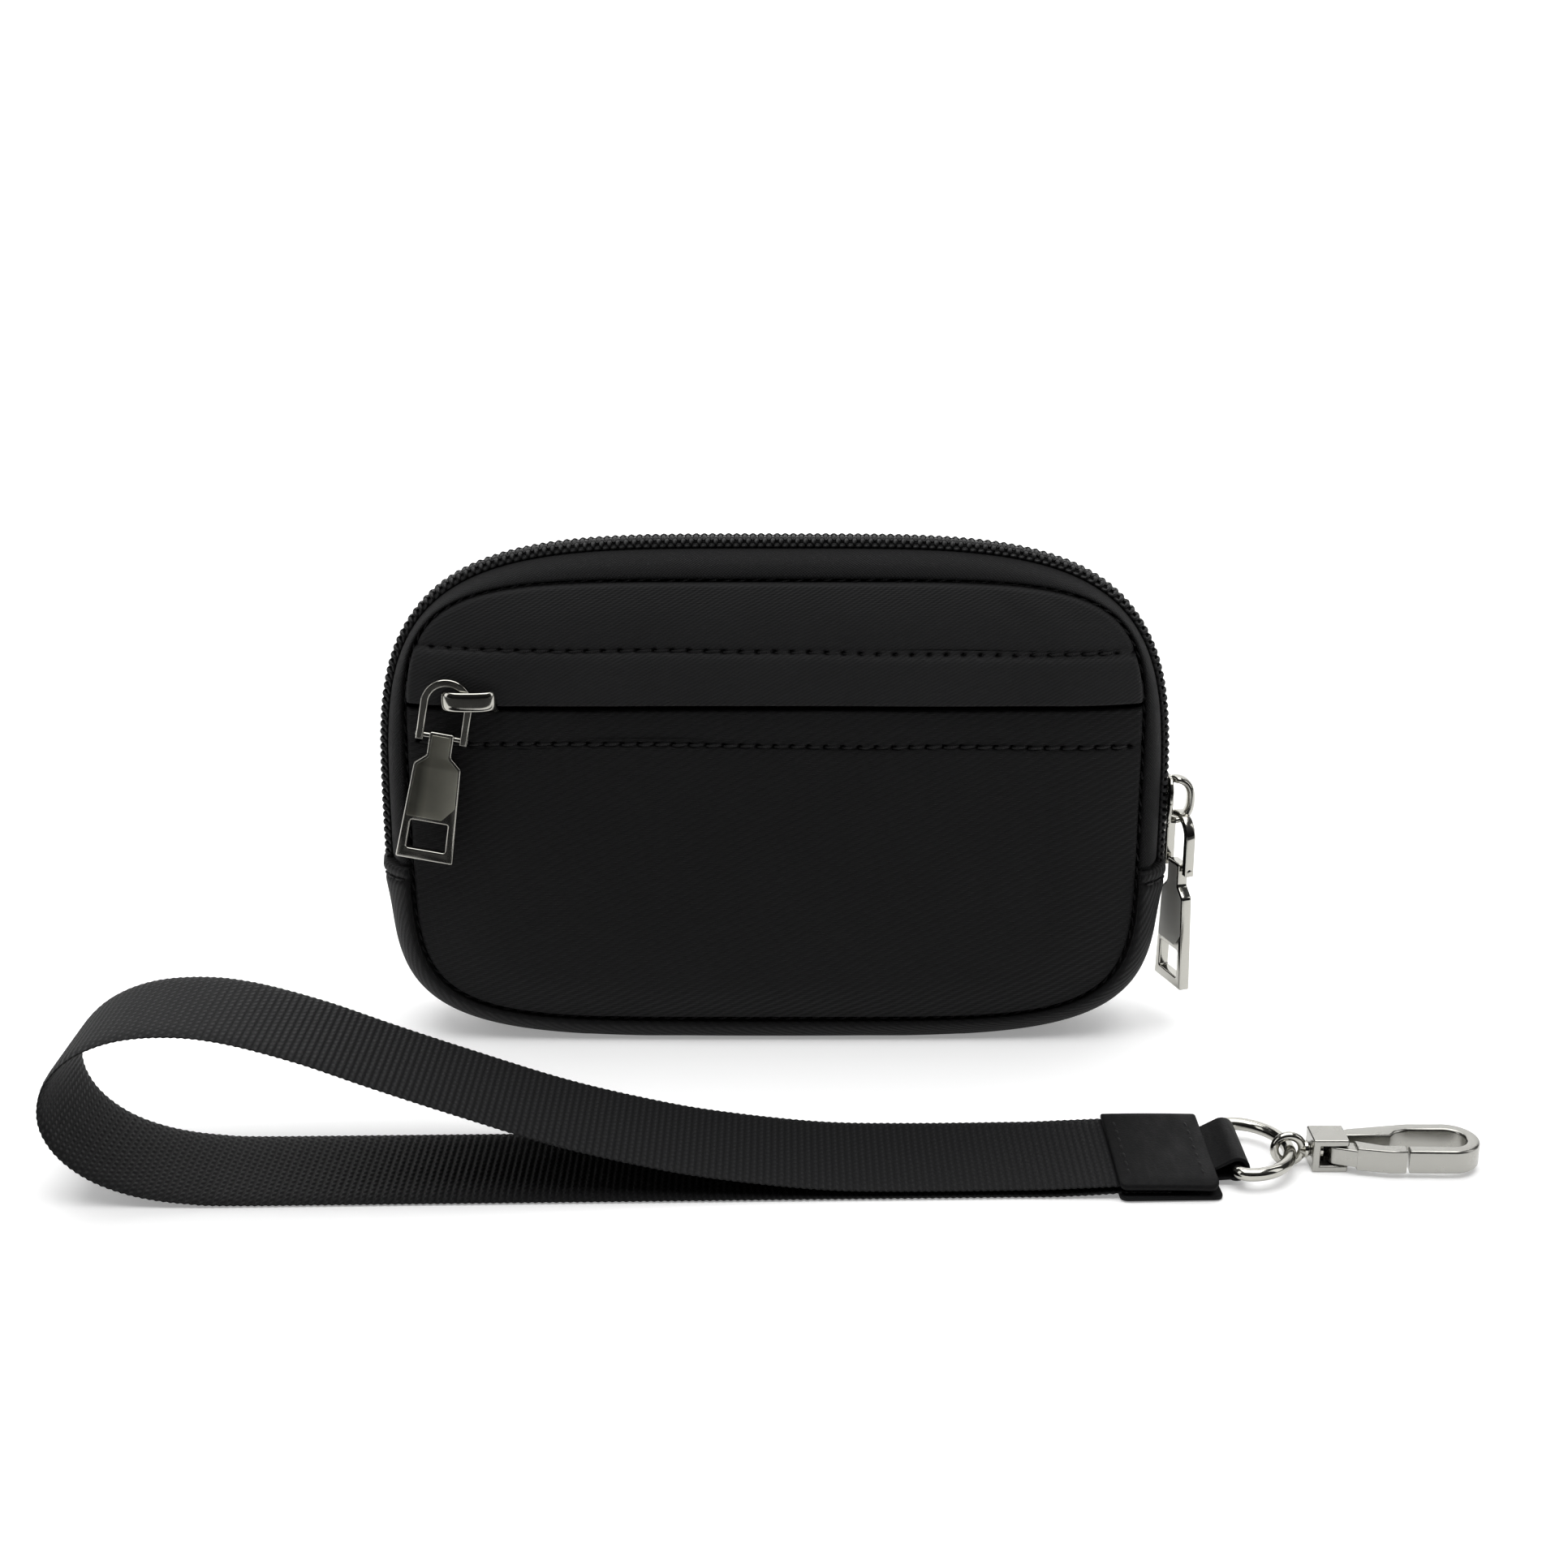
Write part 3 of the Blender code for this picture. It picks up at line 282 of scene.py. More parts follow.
class Surface(Nodes):
    """One Principled material and the few node recipes that the materials share."""

    def __init__(self, name, colour, roughness, metallic=0.0):
        self.material = bpy.data.materials.new(name)
        self.material.use_nodes = True
        super().__init__(self.material.node_tree)
        self.shader = self.tree.nodes["Principled BSDF"]
        self.shader.inputs["Base Color"].default_value = (*colour, 1)
        self.shader.inputs["Roughness"].default_value = roughness
        self.shader.inputs["Metallic"].default_value = metallic
        self.colour = colour
        self.last_normal = None

    def set(self, **values):
        for name, value in values.items():
            self.shader.inputs[name.replace("_", " ")].default_value = value

    def weave(self):
        """Millimetres along and across the cloth, from the mesh's own attribute."""
        return self.node("ShaderNodeAttribute", attribute_name="weave").outputs["Vector"]

    def object_mm(self):
        place = self.node("ShaderNodeTexCoord").outputs["Object"]
        scaled = self.node("ShaderNodeVectorMath", {0: place, "Scale": 1 / MM}, operation="SCALE")
        return scaled.outputs[0]

    def turned(self, place, degrees):
        made = self.node("ShaderNodeVectorRotate", {"Vector": place, "Angle": math.radians(degrees)},
                         rotation_type="Z_AXIS")
        return made.outputs[0]

    def stretched(self, place, factors):
        made = self.node("ShaderNodeVectorMath", {0: place, 1: factors}, operation="MULTIPLY")
        return made.outputs[0]

    def noise(self, place, scale, detail=2.0, roughness=0.5):
        made = self.node("ShaderNodeTexNoise", {"Vector": place, "Scale": scale, "Detail": detail,
                                                "Roughness": roughness})
        return made.outputs["Fac"]

    def wave(self, value, pitch, phase=0.0):
        """Sine of a length, from -1 to 1."""
        return self.math("SINE", self.total(self.scaled(value, 2 * math.pi / pitch), phase))

    def bump(self, height, distance_mm, strength=1.0):
        inputs = {"Height": height, "Distance": distance_mm * MM, "Strength": strength}
        if self.last_normal is not None:
            inputs["Normal"] = self.last_normal
        self.last_normal = self.node("ShaderNodeBump", inputs).outputs["Normal"]
        self.tree.links.new(self.last_normal, self.shader.inputs["Normal"])

    def shade(self, value, dark, light):
        """Base colour that runs from dark to light times the material's colour."""
        mixed = self.node("ShaderNodeMix", data_type="RGBA")
        self.tree.links.new(value, mixed.inputs["Factor"])
        mixed.inputs[6].default_value = (*[c * dark for c in self.colour], 1)
        mixed.inputs[7].default_value = (*[c * light for c in self.colour], 1)
        self.tree.links.new(mixed.outputs[2], self.shader.inputs["Base Color"])

    def roughness(self, value):
        self.tree.links.new(value, self.shader.inputs["Roughness"])


def twill_cloth(name, pitch, depth, colour, rib_angle=28.0):
    """Fine twill: ribs that rise to the right, broken into short yarn floats."""
    cloth = Surface(name, colour, 0.66)
    cloth.set(Sheen_Weight=0.03, Sheen_Roughness=0.45, Specular_IOR_Level=0.14)
    place = cloth.weave()
    drift = cloth.noise(cloth.stretched(place, (0.05, 0.07, 1)), 1.0, 1.0)
    turned = cloth.split(cloth.turned(place, -rib_angle))
    across = cloth.total(turned["Y"], cloth.scaled(drift, 1.2))
    rib = cloth.wave(across, pitch)
    rib_share = cloth.range(rib, -1, 1, 0, 1)
    floats = cloth.wave(cloth.total(turned["X"], cloth.scaled(across, 1.7)), 0.62)
    fibres = cloth.noise(cloth.stretched(cloth.turned(place, -rib_angle), (1.5, 2.4, 1)), 1.6, 3.0)
    blotch = cloth.noise(place, 0.05, 3.0)
    tone = cloth.total(cloth.scaled(rib_share, 0.34), cloth.scaled(fibres, 0.3),
                       cloth.scaled(blotch, 0.42))
    cloth.shade(tone, 0.55, 1.4)
    cloth.roughness(cloth.range(fibres, 0.2, 0.8, 0.58, 0.76))
    cloth.bump(rib, depth)
    cloth.bump(floats, depth * 0.4)
    cloth.bump(fibres, 0.05)
    return cloth.material


def tape_cloth():
    """Knitted zip tape: small cross ribs."""
    cloth = Surface("zip_tape_knit", (0.0075, 0.0075, 0.0079), 0.72)
    cloth.set(Sheen_Weight=0.015, Sheen_Roughness=0.4, Specular_IOR_Level=0.09)
    place = cloth.weave()
    parts = cloth.split(place)
    ribs = cloth.wave(parts["X"], 0.62)
    rows = cloth.wave(parts["Y"], 0.55)
    knit = cloth.math("MULTIPLY", ribs, rows)
    fuzz = cloth.noise(place, 2.2, 3.0)
    tone = cloth.total(cloth.range(knit, -1, 1, 0.05, 0.5), cloth.scaled(fuzz, 0.6))
    cloth.shade(tone, 0.5, 1.5)
    cloth.bump(knit, 0.07)
    cloth.bump(fuzz, 0.08)
    return cloth.material


def web_cloth():
    """Woven webbing: ribs across the strap, each a row of small yarn crossings."""
    cloth = Surface("webbing_weave", (0.0113, 0.0113, 0.0119), 0.62)
    cloth.set(Sheen_Weight=0.02, Sheen_Roughness=0.4, Specular_IOR_Level=0.12)
    place = cloth.weave()
    parts = cloth.split(place)
    ribs = cloth.range(cloth.wave(parts["X"], WEB_RIB), -1, 1, 0, 1)
    row = cloth.math("FLOOR", cloth.scaled(parts["X"], 1 / WEB_RIB))
    crossings = cloth.wave(parts["Y"], 1.5, cloth.scaled(row, math.pi))
    dots = cloth.math("MULTIPLY", ribs, cloth.range(crossings, -1, 1, 0.35, 1))
    fibres = cloth.noise(cloth.stretched(place, (3.0, 1.5, 1)), 1.6, 3.0)
    tone = cloth.total(cloth.scaled(dots, 0.7), cloth.scaled(fibres, 0.35))
    cloth.shade(tone, 0.45, 1.5)
    cloth.roughness(cloth.range(fibres, 0.2, 0.8, 0.54, 0.72))
    cloth.bump(dots, 0.2)
    cloth.bump(fibres, 0.05)
    return cloth.material


def plain_cloth(name, colour, thread=0.35):
    """Close plain weave read from object coordinates, for linings and bindings."""
    cloth = Surface(name, colour, 0.7)
    cloth.set(Specular_IOR_Level=0.2)
    place = cloth.object_mm()
    parts = cloth.split(place)
    grid = cloth.math("MULTIPLY", cloth.wave(parts["X"], thread), cloth.wave(parts["Z"], thread))
    fuzz = cloth.noise(place, 1.5, 3.0)
    cloth.shade(fuzz, 0.7, 1.3)
    cloth.bump(grid, 0.04)
    cloth.bump(fuzz, 0.04)
    return cloth.material


def foam_surface():
    foam = Surface("foam_cells", (0.25, 0.25, 0.25), 0.95)
    cells = foam.noise(foam.object_mm(), 3.0, 4.0, 0.7)
    foam.shade(cells, 0.75, 1.2)
    foam.bump(cells, 0.15)
    return foam.material


def thread_surface():
    """Twisted sewing thread."""
    thread = Surface("sewing_thread", (0.0095, 0.0095, 0.01), 0.55)
    thread.set(Specular_IOR_Level=0.25)
    place = thread.object_mm()
    twist = thread.split(thread.turned(place, 35.0))
    plies = thread.wave(twist["X"], 0.24)
    thread.shade(thread.range(plies, -1, 1, 0, 1), 0.55, 1.5)
    thread.bump(plies, 0.05)
    return thread.material


def coil_surface():
    coil = Surface("coil_nylon", (0.0085, 0.0085, 0.009), 0.45)
    coil.set(Specular_IOR_Level=0.3)
    wear = coil.noise(coil.object_mm(), 1.2, 3.0)
    coil.shade(wear, 0.75, 1.3)
    coil.roughness(coil.range(wear, 0.25, 0.75, 0.4, 0.6))
    coil.bump(wear, 0.02)
    return coil.material


def leather_surface():
    """Smooth black leather with a fine pebble and a few creases."""
    leather = Surface("black_leather", (0.0052, 0.0052, 0.0055), 0.62)
    leather.set(Specular_IOR_Level=0.1)
    place = leather.object_mm()
    pebble = leather.node("ShaderNodeTexVoronoi", {"Vector": place, "Scale": 2.6},
                          feature="SMOOTH_F1").outputs["Distance"]
    pores = leather.noise(place, 5.0, 3.0, 0.6)
    creases = leather.noise(leather.stretched(place, (0.6, 0.15, 1)), 0.9, 4.0, 0.6)
    leather.shade(leather.total(leather.scaled(creases, 0.6), leather.scaled(pores, 0.4)), 0.65, 1.4)
    leather.roughness(leather.range(creases, 0.3, 0.7, 0.5, 0.68))
    leather.bump(pebble, 0.035)
    leather.bump(pores, 0.02)
    leather.bump(creases, 0.05)
    return leather.material


def metal_surface(name, colour, low, high, brushed=False, metallic=1.0):
    """Metal with faint handling marks, and with fine brushing where it is not polished."""
    metal = Surface(name, colour, (low + high) / 2, metallic)
    place = metal.object_mm()
    marks = metal.noise(place, 0.25, 3.0, 0.5)
    metal.roughness(metal.range(marks, 0.3, 0.7, low, high))
    metal.shade(marks, 0.92, 1.04)
    if brushed:
        lines = metal.noise(metal.stretched(place, (0.3, 5.0, 5.0)), 1.5, 2.0)
        metal.bump(lines, 0.0012)
    return metal.material


def shadowed_nickel():
    """Sunk face of the pocket's tab: nickel whose dark colour is painted shade and a painted dark reflection,
    with a darker painted shadow stripe along one side.
    """
    metal = Surface("nickel_sunk_face_painted_shade", (0.52, 0.51, 0.43), 0.3, 1.0)
    parts = metal.split(metal.weave())
    # painted shadow stripe: darkest at one side of the face
    stripe = metal.range(parts["X"], -2.9, -1.2, 0.0, 1.0)
    marks = metal.noise(metal.object_mm(), 0.25, 3.0, 0.5)
    # base colour: the painted shadow stripe mixed with real handling marks
    metal.shade(metal.total(metal.scaled(stripe, 0.75), metal.scaled(marks, 0.4)), 0.3, 1.15)
    return metal.material


def make_materials():
    return {
        "twill": twill_cloth("twill_ribbed", 1.2, 0.075, (0.0066, 0.0066, 0.007)),
        # darker copy of the ribbed twill; its lower colour paints the shade on the gusset round the pouch's
        # sides and bottom
        "gusset_twill_painted_shade": twill_cloth("twill_gusset_painted_shade", 1.2, 0.05, (0.0046, 0.0046, 0.0049)),
        # finer twill of the upper panel and flap; its colour is set well above the ribbed twill's to paint in
        # the top light that falls on them
        "fine_twill_painted_light": twill_cloth("twill_fine_painted_light", 0.6, 0.03, (0.0135, 0.0135, 0.014)),
        "tape": tape_cloth(),
        "web": web_cloth(),
        "lining": plain_cloth("lining_cloth", (0.02, 0.02, 0.022)),
        "binding": plain_cloth("binding_tape", (0.01, 0.01, 0.01), 0.6),
        "foam": foam_surface(),
        "thread": thread_surface(),
        "coil": coil_surface(),
        "leather": leather_surface(),
        "nickel": metal_surface("nickel_polished", (0.45, 0.442, 0.405), 0.09, 0.17),
        "satin": metal_surface("nickel_satin", (0.37, 0.365, 0.34), 0.2, 0.3, True),
        # pocket tab's sunk face, coloured with painted shade and a painted dark reflection
        "painted_shade_nickel": shadowed_nickel(),
        "frosted": metal_surface("nickel_frosted", (0.5, 0.495, 0.46), 0.42, 0.55, True, 0.3),
        "steel": metal_surface("steel_spring", (0.5, 0.5, 0.5), 0.3, 0.42, True),
    }


# --- mesh tools ----------------------------------------------------------------------
def xyz(x, y, z):
    """Points from their coordinates, as arrays of one shape."""
    return np.stack([x, y, z], axis=-1)


def full_turn(count):
    """Even angles once round."""
    return np.linspace(0, 2 * math.pi, count, endpoint=False)


def unit(vectors):
    return vectors / np.linalg.norm(vectors, axis=1, keepdims=True)


def headings(path):
    """Unit direction of a path at each of its points."""
    return unit(np.gradient(path, axis=0))


def at_marks(marks, travelled, values):
    """Rows of values read off at distances along a path."""
    return np.stack([np.interp(marks, travelled, column) for column in values.T], axis=-1)


def store_weave(data, vectors):
    """Keeps a vector for each vertex, which the cloths and inlays read."""
    layer = data.attributes.new("weave", "FLOAT_VECTOR", "POINT")
    layer.data.foreach_set("vector", np.asarray(vectors, np.float32).ravel())


def round_edges(piece, width, segments):
    """Bevels the sharp edges when the piece is rendered or exported."""
    edge = piece.modifiers.new("edge", "BEVEL")
    edge.width = width * MM
    edge.segments = segments
    edge.limit_method = "ANGLE"
    edge.angle_limit = math.radians(EDGE_ANGLE)
    edge.harden_normals = True


def grid_faces(rows, columns, close_rows=False, close_columns=False):
    i, j = np.meshgrid(np.arange(rows if close_rows else rows - 1),
                       np.arange(columns if close_columns else columns - 1), indexing="ij")
    below, right = (i + 1) % rows, (j + 1) % columns
    quads = (i * columns + j, i * columns + right, below * columns + right, below * columns + j)
    return np.stack(quads, axis=-1).reshape(-1, 4)


def make_piece(name, points, faces, material, body, weave=None, thickness=0.0, sharp=None):
    """Mesh object in place, riding on its body; thickness grows inwards."""
    mesh = bpy.data.meshes.new(name)
    mesh.from_pydata((np.asarray(points, float) * MM).tolist(), [], [list(map(int, f)) for f in faces])
    mesh.shade_smooth()
    if sharp is not None:
        mesh.set_sharp_from_angle(angle=math.radians(sharp))
    mesh.materials.append(material)
    if weave is not None:
        store_weave(mesh, weave)
    piece = put(name, mesh)
    if thickness:
        solid = piece.modifiers.new("thickness", "SOLIDIFY")
        solid.thickness = thickness * MM
        solid.offset = -1.0
    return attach(piece, body)


def turn_outwards(piece, outwards):
    """Flips the faces if most of them look against the wanted direction."""
    mesh = piece.data
    normals = np.zeros(len(mesh.polygons) * 3)
    mesh.polygons.foreach_get("normal", normals)
    if (normals.reshape(-1, 3) @ np.asarray(outwards, float)).sum() < 0:
        mesh.flip_normals()
    return piece


def sheet_piece(name, grid, weave, material, body, outwards, thickness):
    piece = make_piece(name, grid.reshape(-1, 3), grid_faces(*grid.shape[:2]), material, body,
                       weave.reshape(-1, 3), thickness)
    return turn_outwards(piece, outwards)


def tube_rings(path, radii, sides, reference):
    """Rings of points round a path. The reference settles how they are turned about it."""
    path = np.asarray(path, float)
    along = headings(path)
    up = np.broadcast_to(np.asarray(reference, float), path.shape)
    side = np.cross(along, up)
    side /= np.maximum(np.linalg.norm(side, axis=1, keepdims=True), 1e-9)
    up = np.cross(side, along)
    turn = full_turn(sides)
    radii = np.broadcast_to(np.asarray(radii, float), (len(path),))
    spread = side[:, None] * np.cos(turn)[None, :, None]
    spread = spread + up[:, None] * np.sin(turn)[None, :, None]
    return path[:, None] + spread * radii[:, None, None]


def tube_parts(rings, closed=False):
    """Points and faces of one tube, with flat ends unless it is closed."""
    count, sides = rings.shape[:2]
    faces = grid_faces(count, sides, closed, True).tolist()
    if not closed:
        faces.append(list(range(sides))[::-1])
        faces.append(list(range((count - 1) * sides, count * sides)))
    return rings.reshape(-1, 3), faces


def joined(parts):
    """Several (points, faces) pairs as one."""
    points, faces, start = [], [], 0
    for some, polygons in parts:
        points.append(some)
        faces += [[start + i for i in f] for f in polygons]
        start += len(some)
    return np.concatenate(points), faces


def to_bmesh(mesh):
    shape = bmesh.new()
    shape.from_mesh(mesh)
    return shape


def write_back(shape, mesh):
    shape.to_mesh(mesh)
    shape.free()


def outward_faces(piece):
    """Closed mesh with all its faces looking out."""
    shape = to_bmesh(piece.data)
    bmesh.ops.recalc_face_normals(shape, faces=shape.faces)
    write_back(shape, piece.data)
    return piece


def arc(centre, radius, start, end, steps):
    angles = np.radians(np.linspace(start, end, steps + 1))
    return [(centre[0] + radius * math.cos(a), centre[1] + radius * math.sin(a)) for a in angles]


def mirrored(half, flip):
    """Outline from one half and its mirror image; flip is (-1, 1) or (1, -1)."""
    return half + [(flip[0] * u, flip[1] * v) for u, v in reversed(half)]


def rounded(corner_points, radius, steps=5):
    """Closed outline with each corner turned into a curve."""
    corner_points = np.asarray(corner_points, float)
    outline = []
    for i, corner in enumerate(corner_points):
        before = corner_points[i - 1] - corner
        after = corner_points[(i + 1) % len(corner_points)] - corner
        cut = min(radius, np.linalg.norm(before) * 0.45, np.linalg.norm(after) * 0.45)
        start = corner + before / np.linalg.norm(before) * cut
        end = corner + after / np.linalg.norm(after) * cut
        for t in np.linspace(0, 1, steps + 1):
            outline.append((1 - t) ** 2 * start + 2 * t * (1 - t) * corner + t ** 2 * end)
    return outline


def plate(name, loops, half, bevel, material, body, turn, place, bevel_steps=3):
    """Flat plate with rounded edges, cut from outlines in its own x and y.

    The first loop is the outer edge and the others are openings. half is half the
    thickness. turn is a rotation and place a point in millimetres.
    """
    curve = bpy.data.curves.new(name, "CURVE")
    curve.dimensions = "2D"
    curve.fill_mode = "BOTH"
    for loop in loops:
        spline = curve.splines.new("POLY")
        spline.points.add(len(loop) - 1)
        flat = [value * MM for x, y in loop for value in (x, y, 0.0, 1.0 / MM)]
        spline.points.foreach_set("co", flat)
        spline.use_cyclic_u = True
    curve.extrude = (half - bevel) * MM
    curve.bevel_depth = bevel * MM
    curve.bevel_resolution = bevel_steps
    curve.offset = -bevel * MM
    source = put(name + "_source", curve)
    graph = bpy.context.evaluated_depsgraph_get()
    mesh = bpy.data.meshes.new_from_object(source.evaluated_get(graph))
    mesh.name = name
    bpy.data.objects.remove(source)
    shape = to_bmesh(mesh)
    bmesh.ops.remove_doubles(shape, verts=shape.verts, dist=MERGE * MM)
    bmesh.ops.recalc_face_normals(shape, faces=shape.faces)
    write_back(shape, mesh)
    mesh.transform(Matrix.Translation(Vector(place) * MM) @ turn.to_4x4())
    mesh.materials.clear()
    mesh.materials.append(material)
    mesh.shade_smooth()
    mesh.set_sharp_from_angle(angle=math.radians(35))
    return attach(put(name, mesh), body)


def polished(node, name, width, material, body):
    """Copy of a CAD node's mesh with its flat faces made whole and its edges rounded."""
    shape = to_bmesh(frame["nodes"][node].data)
    bmesh.ops.remove_doubles(shape, verts=shape.verts, dist=MERGE * MM)
    bmesh.ops.dissolve_limit(shape, angle_limit=math.radians(2), verts=shape.verts, edges=shape.edges)
    bmesh.ops.recalc_face_normals(shape, faces=shape.faces)
    mesh = bpy.data.meshes.new(name)
    write_back(shape, mesh)
    mesh.materials.append(material)
    mesh.shade_smooth()
    piece = put(name, mesh)
    round_edges(piece, width, 3)
    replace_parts(piece, node)
    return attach(piece, body)


def add_weave(piece, turn, place):
    """Stores each point's place in the piece's own frame, in millimetres."""
    back = turn.inverted()
    store_weave(piece.data, [back @ (vertex.co / MM - Vector(place)) for vertex in piece.data.vertices])


def axes_turn(x_axis, y_axis):
    x_axis, y_axis = Vector(x_axis).normalized(), Vector(y_axis).normalized()
    return Matrix((x_axis, y_axis, x_axis.cross(y_axis))).transposed()


# --- outlines ------------------------------------------------------------------------
def outline_parts(z, shape):
    dz = z - shape["zc"]
    above = dz > 0
    half = np.where(above, shape["top"], shape["bottom"])
    power = np.where(above, shape["n_top"], shape["n_bottom"])
    return np.abs(dz / half), half, power


def outline_value(x, z, shape):
    rise, _, power = outline_parts(z, shape)
    return np.abs(x / shape["a"]) ** power + rise ** power


def half_width(z, shape):
    rise, _, power = outline_parts(z, shape)
    return shape["a"] * np.maximum(0.0, 1 - rise ** power) ** (1 / power)


def edge_distance(x, z, shape):
    """Distance inwards from an outline, true near it."""
    rise, half, power = outline_parts(z, shape)
    wide = np.abs(x / shape["a"])
    total = np.maximum(wide ** power + rise ** power, 1e-9)
    share = total ** (1 / power)
    slope = total ** (1 / power - 1)
    slope = slope * np.hypot(wide ** (power - 1) / shape["a"], rise ** (power - 1) / half)
    return (1 - share) / np.maximum(slope, 1e-6)


def outline_points(angles, shape, grow=0.0):
    """Points (x, z) of an outline along rays, moved outwards by grow."""
    angles = np.asarray(angles, float)
    across, up = np.cos(angles), np.sin(angles)
    low, high = np.zeros_like(angles), np.full_like(angles, 2 * shape["a"])
    for _ in range(45):
        middle = (low + high) / 2
        inside = outline_value(middle * across, RAY_CENTRE_Z + middle * up, shape) < 1
        low, high = np.where(inside, middle, low), np.where(inside, high, middle)
    reach = low + grow
    return np.stack([reach * across, RAY_CENTRE_Z + reach * up], axis=-1)


def even_angles(start, end, count, shape):
    dense = np.linspace(start, end, 1500)
    travelled = path_lengths(outline_points(dense, shape))
    return np.interp(np.linspace(0, travelled[-1], count), travelled, dense)


def path_lengths(points):
    steps = np.linalg.norm(np.diff(points, axis=0), axis=1)
    return np.concatenate([[0.0], np.cumsum(steps)])


def crown_angle(z, right):
    angle = math.atan2(z - RAY_CENTRE_Z, float(half_width(z, CROWN)))
    return angle if right else math.pi - angle


def turn_in(distance, radius=EDGE_ROLL):
    """How far fabric has turned into a seam at a distance from its edge."""
    close = np.clip(radius - distance, 0.0, radius)
    return radius - np.sqrt(np.maximum(radius ** 2 - close ** 2, 0.0))


def bulge(x, z):
    share = outline_value(x, z, SEAM) ** (1 / SEAM["n_top"])
    near_edge = np.maximum(0.0, share - BULGE_START) / (1 - BULGE_START)
    return PANEL_BULGE * np.maximum(0.0, 1 - near_edge ** 2)


def ripple(x, z, phase=0.0):
    """Soft unevenness of padded fabric."""
    soft = 0.11 * np.sin(x / 16.0 + z / 21.0 + phase) + 0.07 * np.sin(x / 8.7 - z / 12.0 + 2 * phase)
    return soft + 0.05 * np.sin(x / 5.1 + z / 33.0 + 3 * phase)


def line_height(x, middle):
    """Height of a stitch line, which wanders and drops a little to the right."""
    return middle + LINE_TILT * x + 0.13 * np.sin(x / 11.0 + middle) + 0.05 * np.sin(x / 4.3)


def needle_pull(x):
    """1 at a needle hole and 0 between two."""
    return (0.5 + 0.5 * np.cos(2 * math.pi * x / STITCH_PITCH)) ** 4


# --- front and back panels -----------------------------------------------------------
def panel_columns(count):
    even = np.linspace(-1, 1, count)
    return 0.72 * even + 0.28 * np.sin(even * math.pi / 2)


def face_depth(x, z, phase=0.0):
    """Outward distance of a panel's face from the pouch's middle plane."""
    edge = edge_distance(x, z, SEAM) - SEAM_GAP
    soft = np.clip(edge / 6.0, 0, 1)
    return HALF_DEPTH + bulge(x, z) - turn_in(edge) + ripple(x, z, phase) * soft


def panel_grid(heights, columns, phase=0.0):
    """x, depth and z over the seam outline between two heights."""
    z = np.asarray(heights, float)[:, None] * np.ones(len(columns))
    x = (half_width(z, SEAM) - SEAM_GAP) * columns
    return x, face_depth(x, z, phase), z


def cosine_steps(low, high, count):
    return low + (high - low) * (1 - np.cos(np.linspace(0, math.pi, count))) / 2


def with_skirt(grid, inwards):
    """Adds a turned-in row or column of fabric along all four edges."""
    wide = np.concatenate([grid[:, :1], grid, grid[:, -1:]], axis=1)
    full = np.concatenate([wide[:1], wide, wide[-1:]], axis=0)
    for edge in (full[0], full[-1], full[:, 0], full[:, -1]):
        edge[:, 1] = np.where(np.abs(edge[:, 1]) > HALF_DEPTH - inwards,
                              np.sign(edge[:, 1]) * (HALF_DEPTH - inwards), edge[:, 1])
    return full


def build_skin(name, node, x, depth, z, side, material):
    grid = with_skirt(xyz(x, side * depth, z), SKIRT)
    weave = xyz(grid[..., 0], grid[..., 2], np.zeros(grid.shape[:2]))
    piece = sheet_piece(name, grid, weave, material, "pouch", (0, side, 0), SKIN_THICK)
    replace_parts(piece, node)


def stitch_groove(x, z, middle, deep):
    """Dent along a stitch line, with a hole where the needle passed."""
    away = z - line_height(x, middle)
    hole = 1.25 * needle_pull(x) * np.exp(-(away / 0.44) ** 2)
    return deep * 0.5 * np.exp(-(away / 0.85) ** 2) + hole


def build_front(kit):
    columns = panel_columns(420)
    x, depth, z = panel_grid(cosine_steps(STITCH_LINE_Z - 1.2, SEAM_HIGH, 64), columns, UPPER_PHASE)
    crease = 0.16 * np.exp(-((x - 46) / 7) ** 2 - ((z - 86) / 4) ** 2) * np.sin((x + z) / 1.9)
    depth = depth - stitch_groove(x, z, STITCH_LINE_Z, LINE_GROOVE) + crease
    # upper panel's cloth colour carries painted top light
    build_skin("upper_panel", "front_upper_panel", x, depth, z, -1, kit["fine_twill_painted_light"])
    build_flap(kit, columns)
    build_welt(kit, columns)
    x, depth, z = panel_grid(cosine_steps(SEAM_LOW, WELT_BOTTOM_Z + 1.4, 130), columns, LOWER_PHASE)
    depth = depth - stitch_groove(x, z, WELT_BOTTOM_Z, WELT_GROOVE)
    build_skin("lower_panel", "front_lower_panel", x, depth, z, -1, kit["twill"])


def build_flap(kit, columns):
    """Folded band that hangs over the pocket's zip."""
    hem = 0.62
    face = cosine_steps(SLOT_Z + SLOT_HALF + hem, STITCH_LINE_Z + 0.5, 44)
    fold = np.radians(np.linspace(-90, 0, 8))[:-1]
    heights = np.concatenate([[SLOT_Z + SLOT_HALF + 3.2, SLOT_Z + SLOT_HALF + hem],
                              SLOT_Z + SLOT_HALF + hem + hem * np.sin(fold), face])
    lift = np.concatenate([[-2 * hem, -2 * hem], hem * np.cos(fold) - hem, np.zeros(len(face))])
    x, depth, z = panel_grid(heights, columns, phase=2.1)
    drop = STITCH_LINE_Z + 0.5 - z
    rise = FLAP_PROUD * (1 - np.exp(-np.maximum(drop, 0) / 1.6))
    sag = 0.12 * np.sin(math.pi * np.clip(drop / 11.0, 0, 1))
    depth = depth + rise + sag + lift[:, None] - stitch_groove(x, z, STITCH_LINE_Z, LINE_GROOVE)
    line = line_height(x, 0.0)
    z = z + line * np.clip((z - SLOT_Z - SLOT_HALF) / 9.0, 0, 1) * 0.6
    # flap's cloth colour carries painted top light
    build_skin("flap_band", "pocket_flap", x, depth, z, -1, kit["fine_twill_painted_light"])


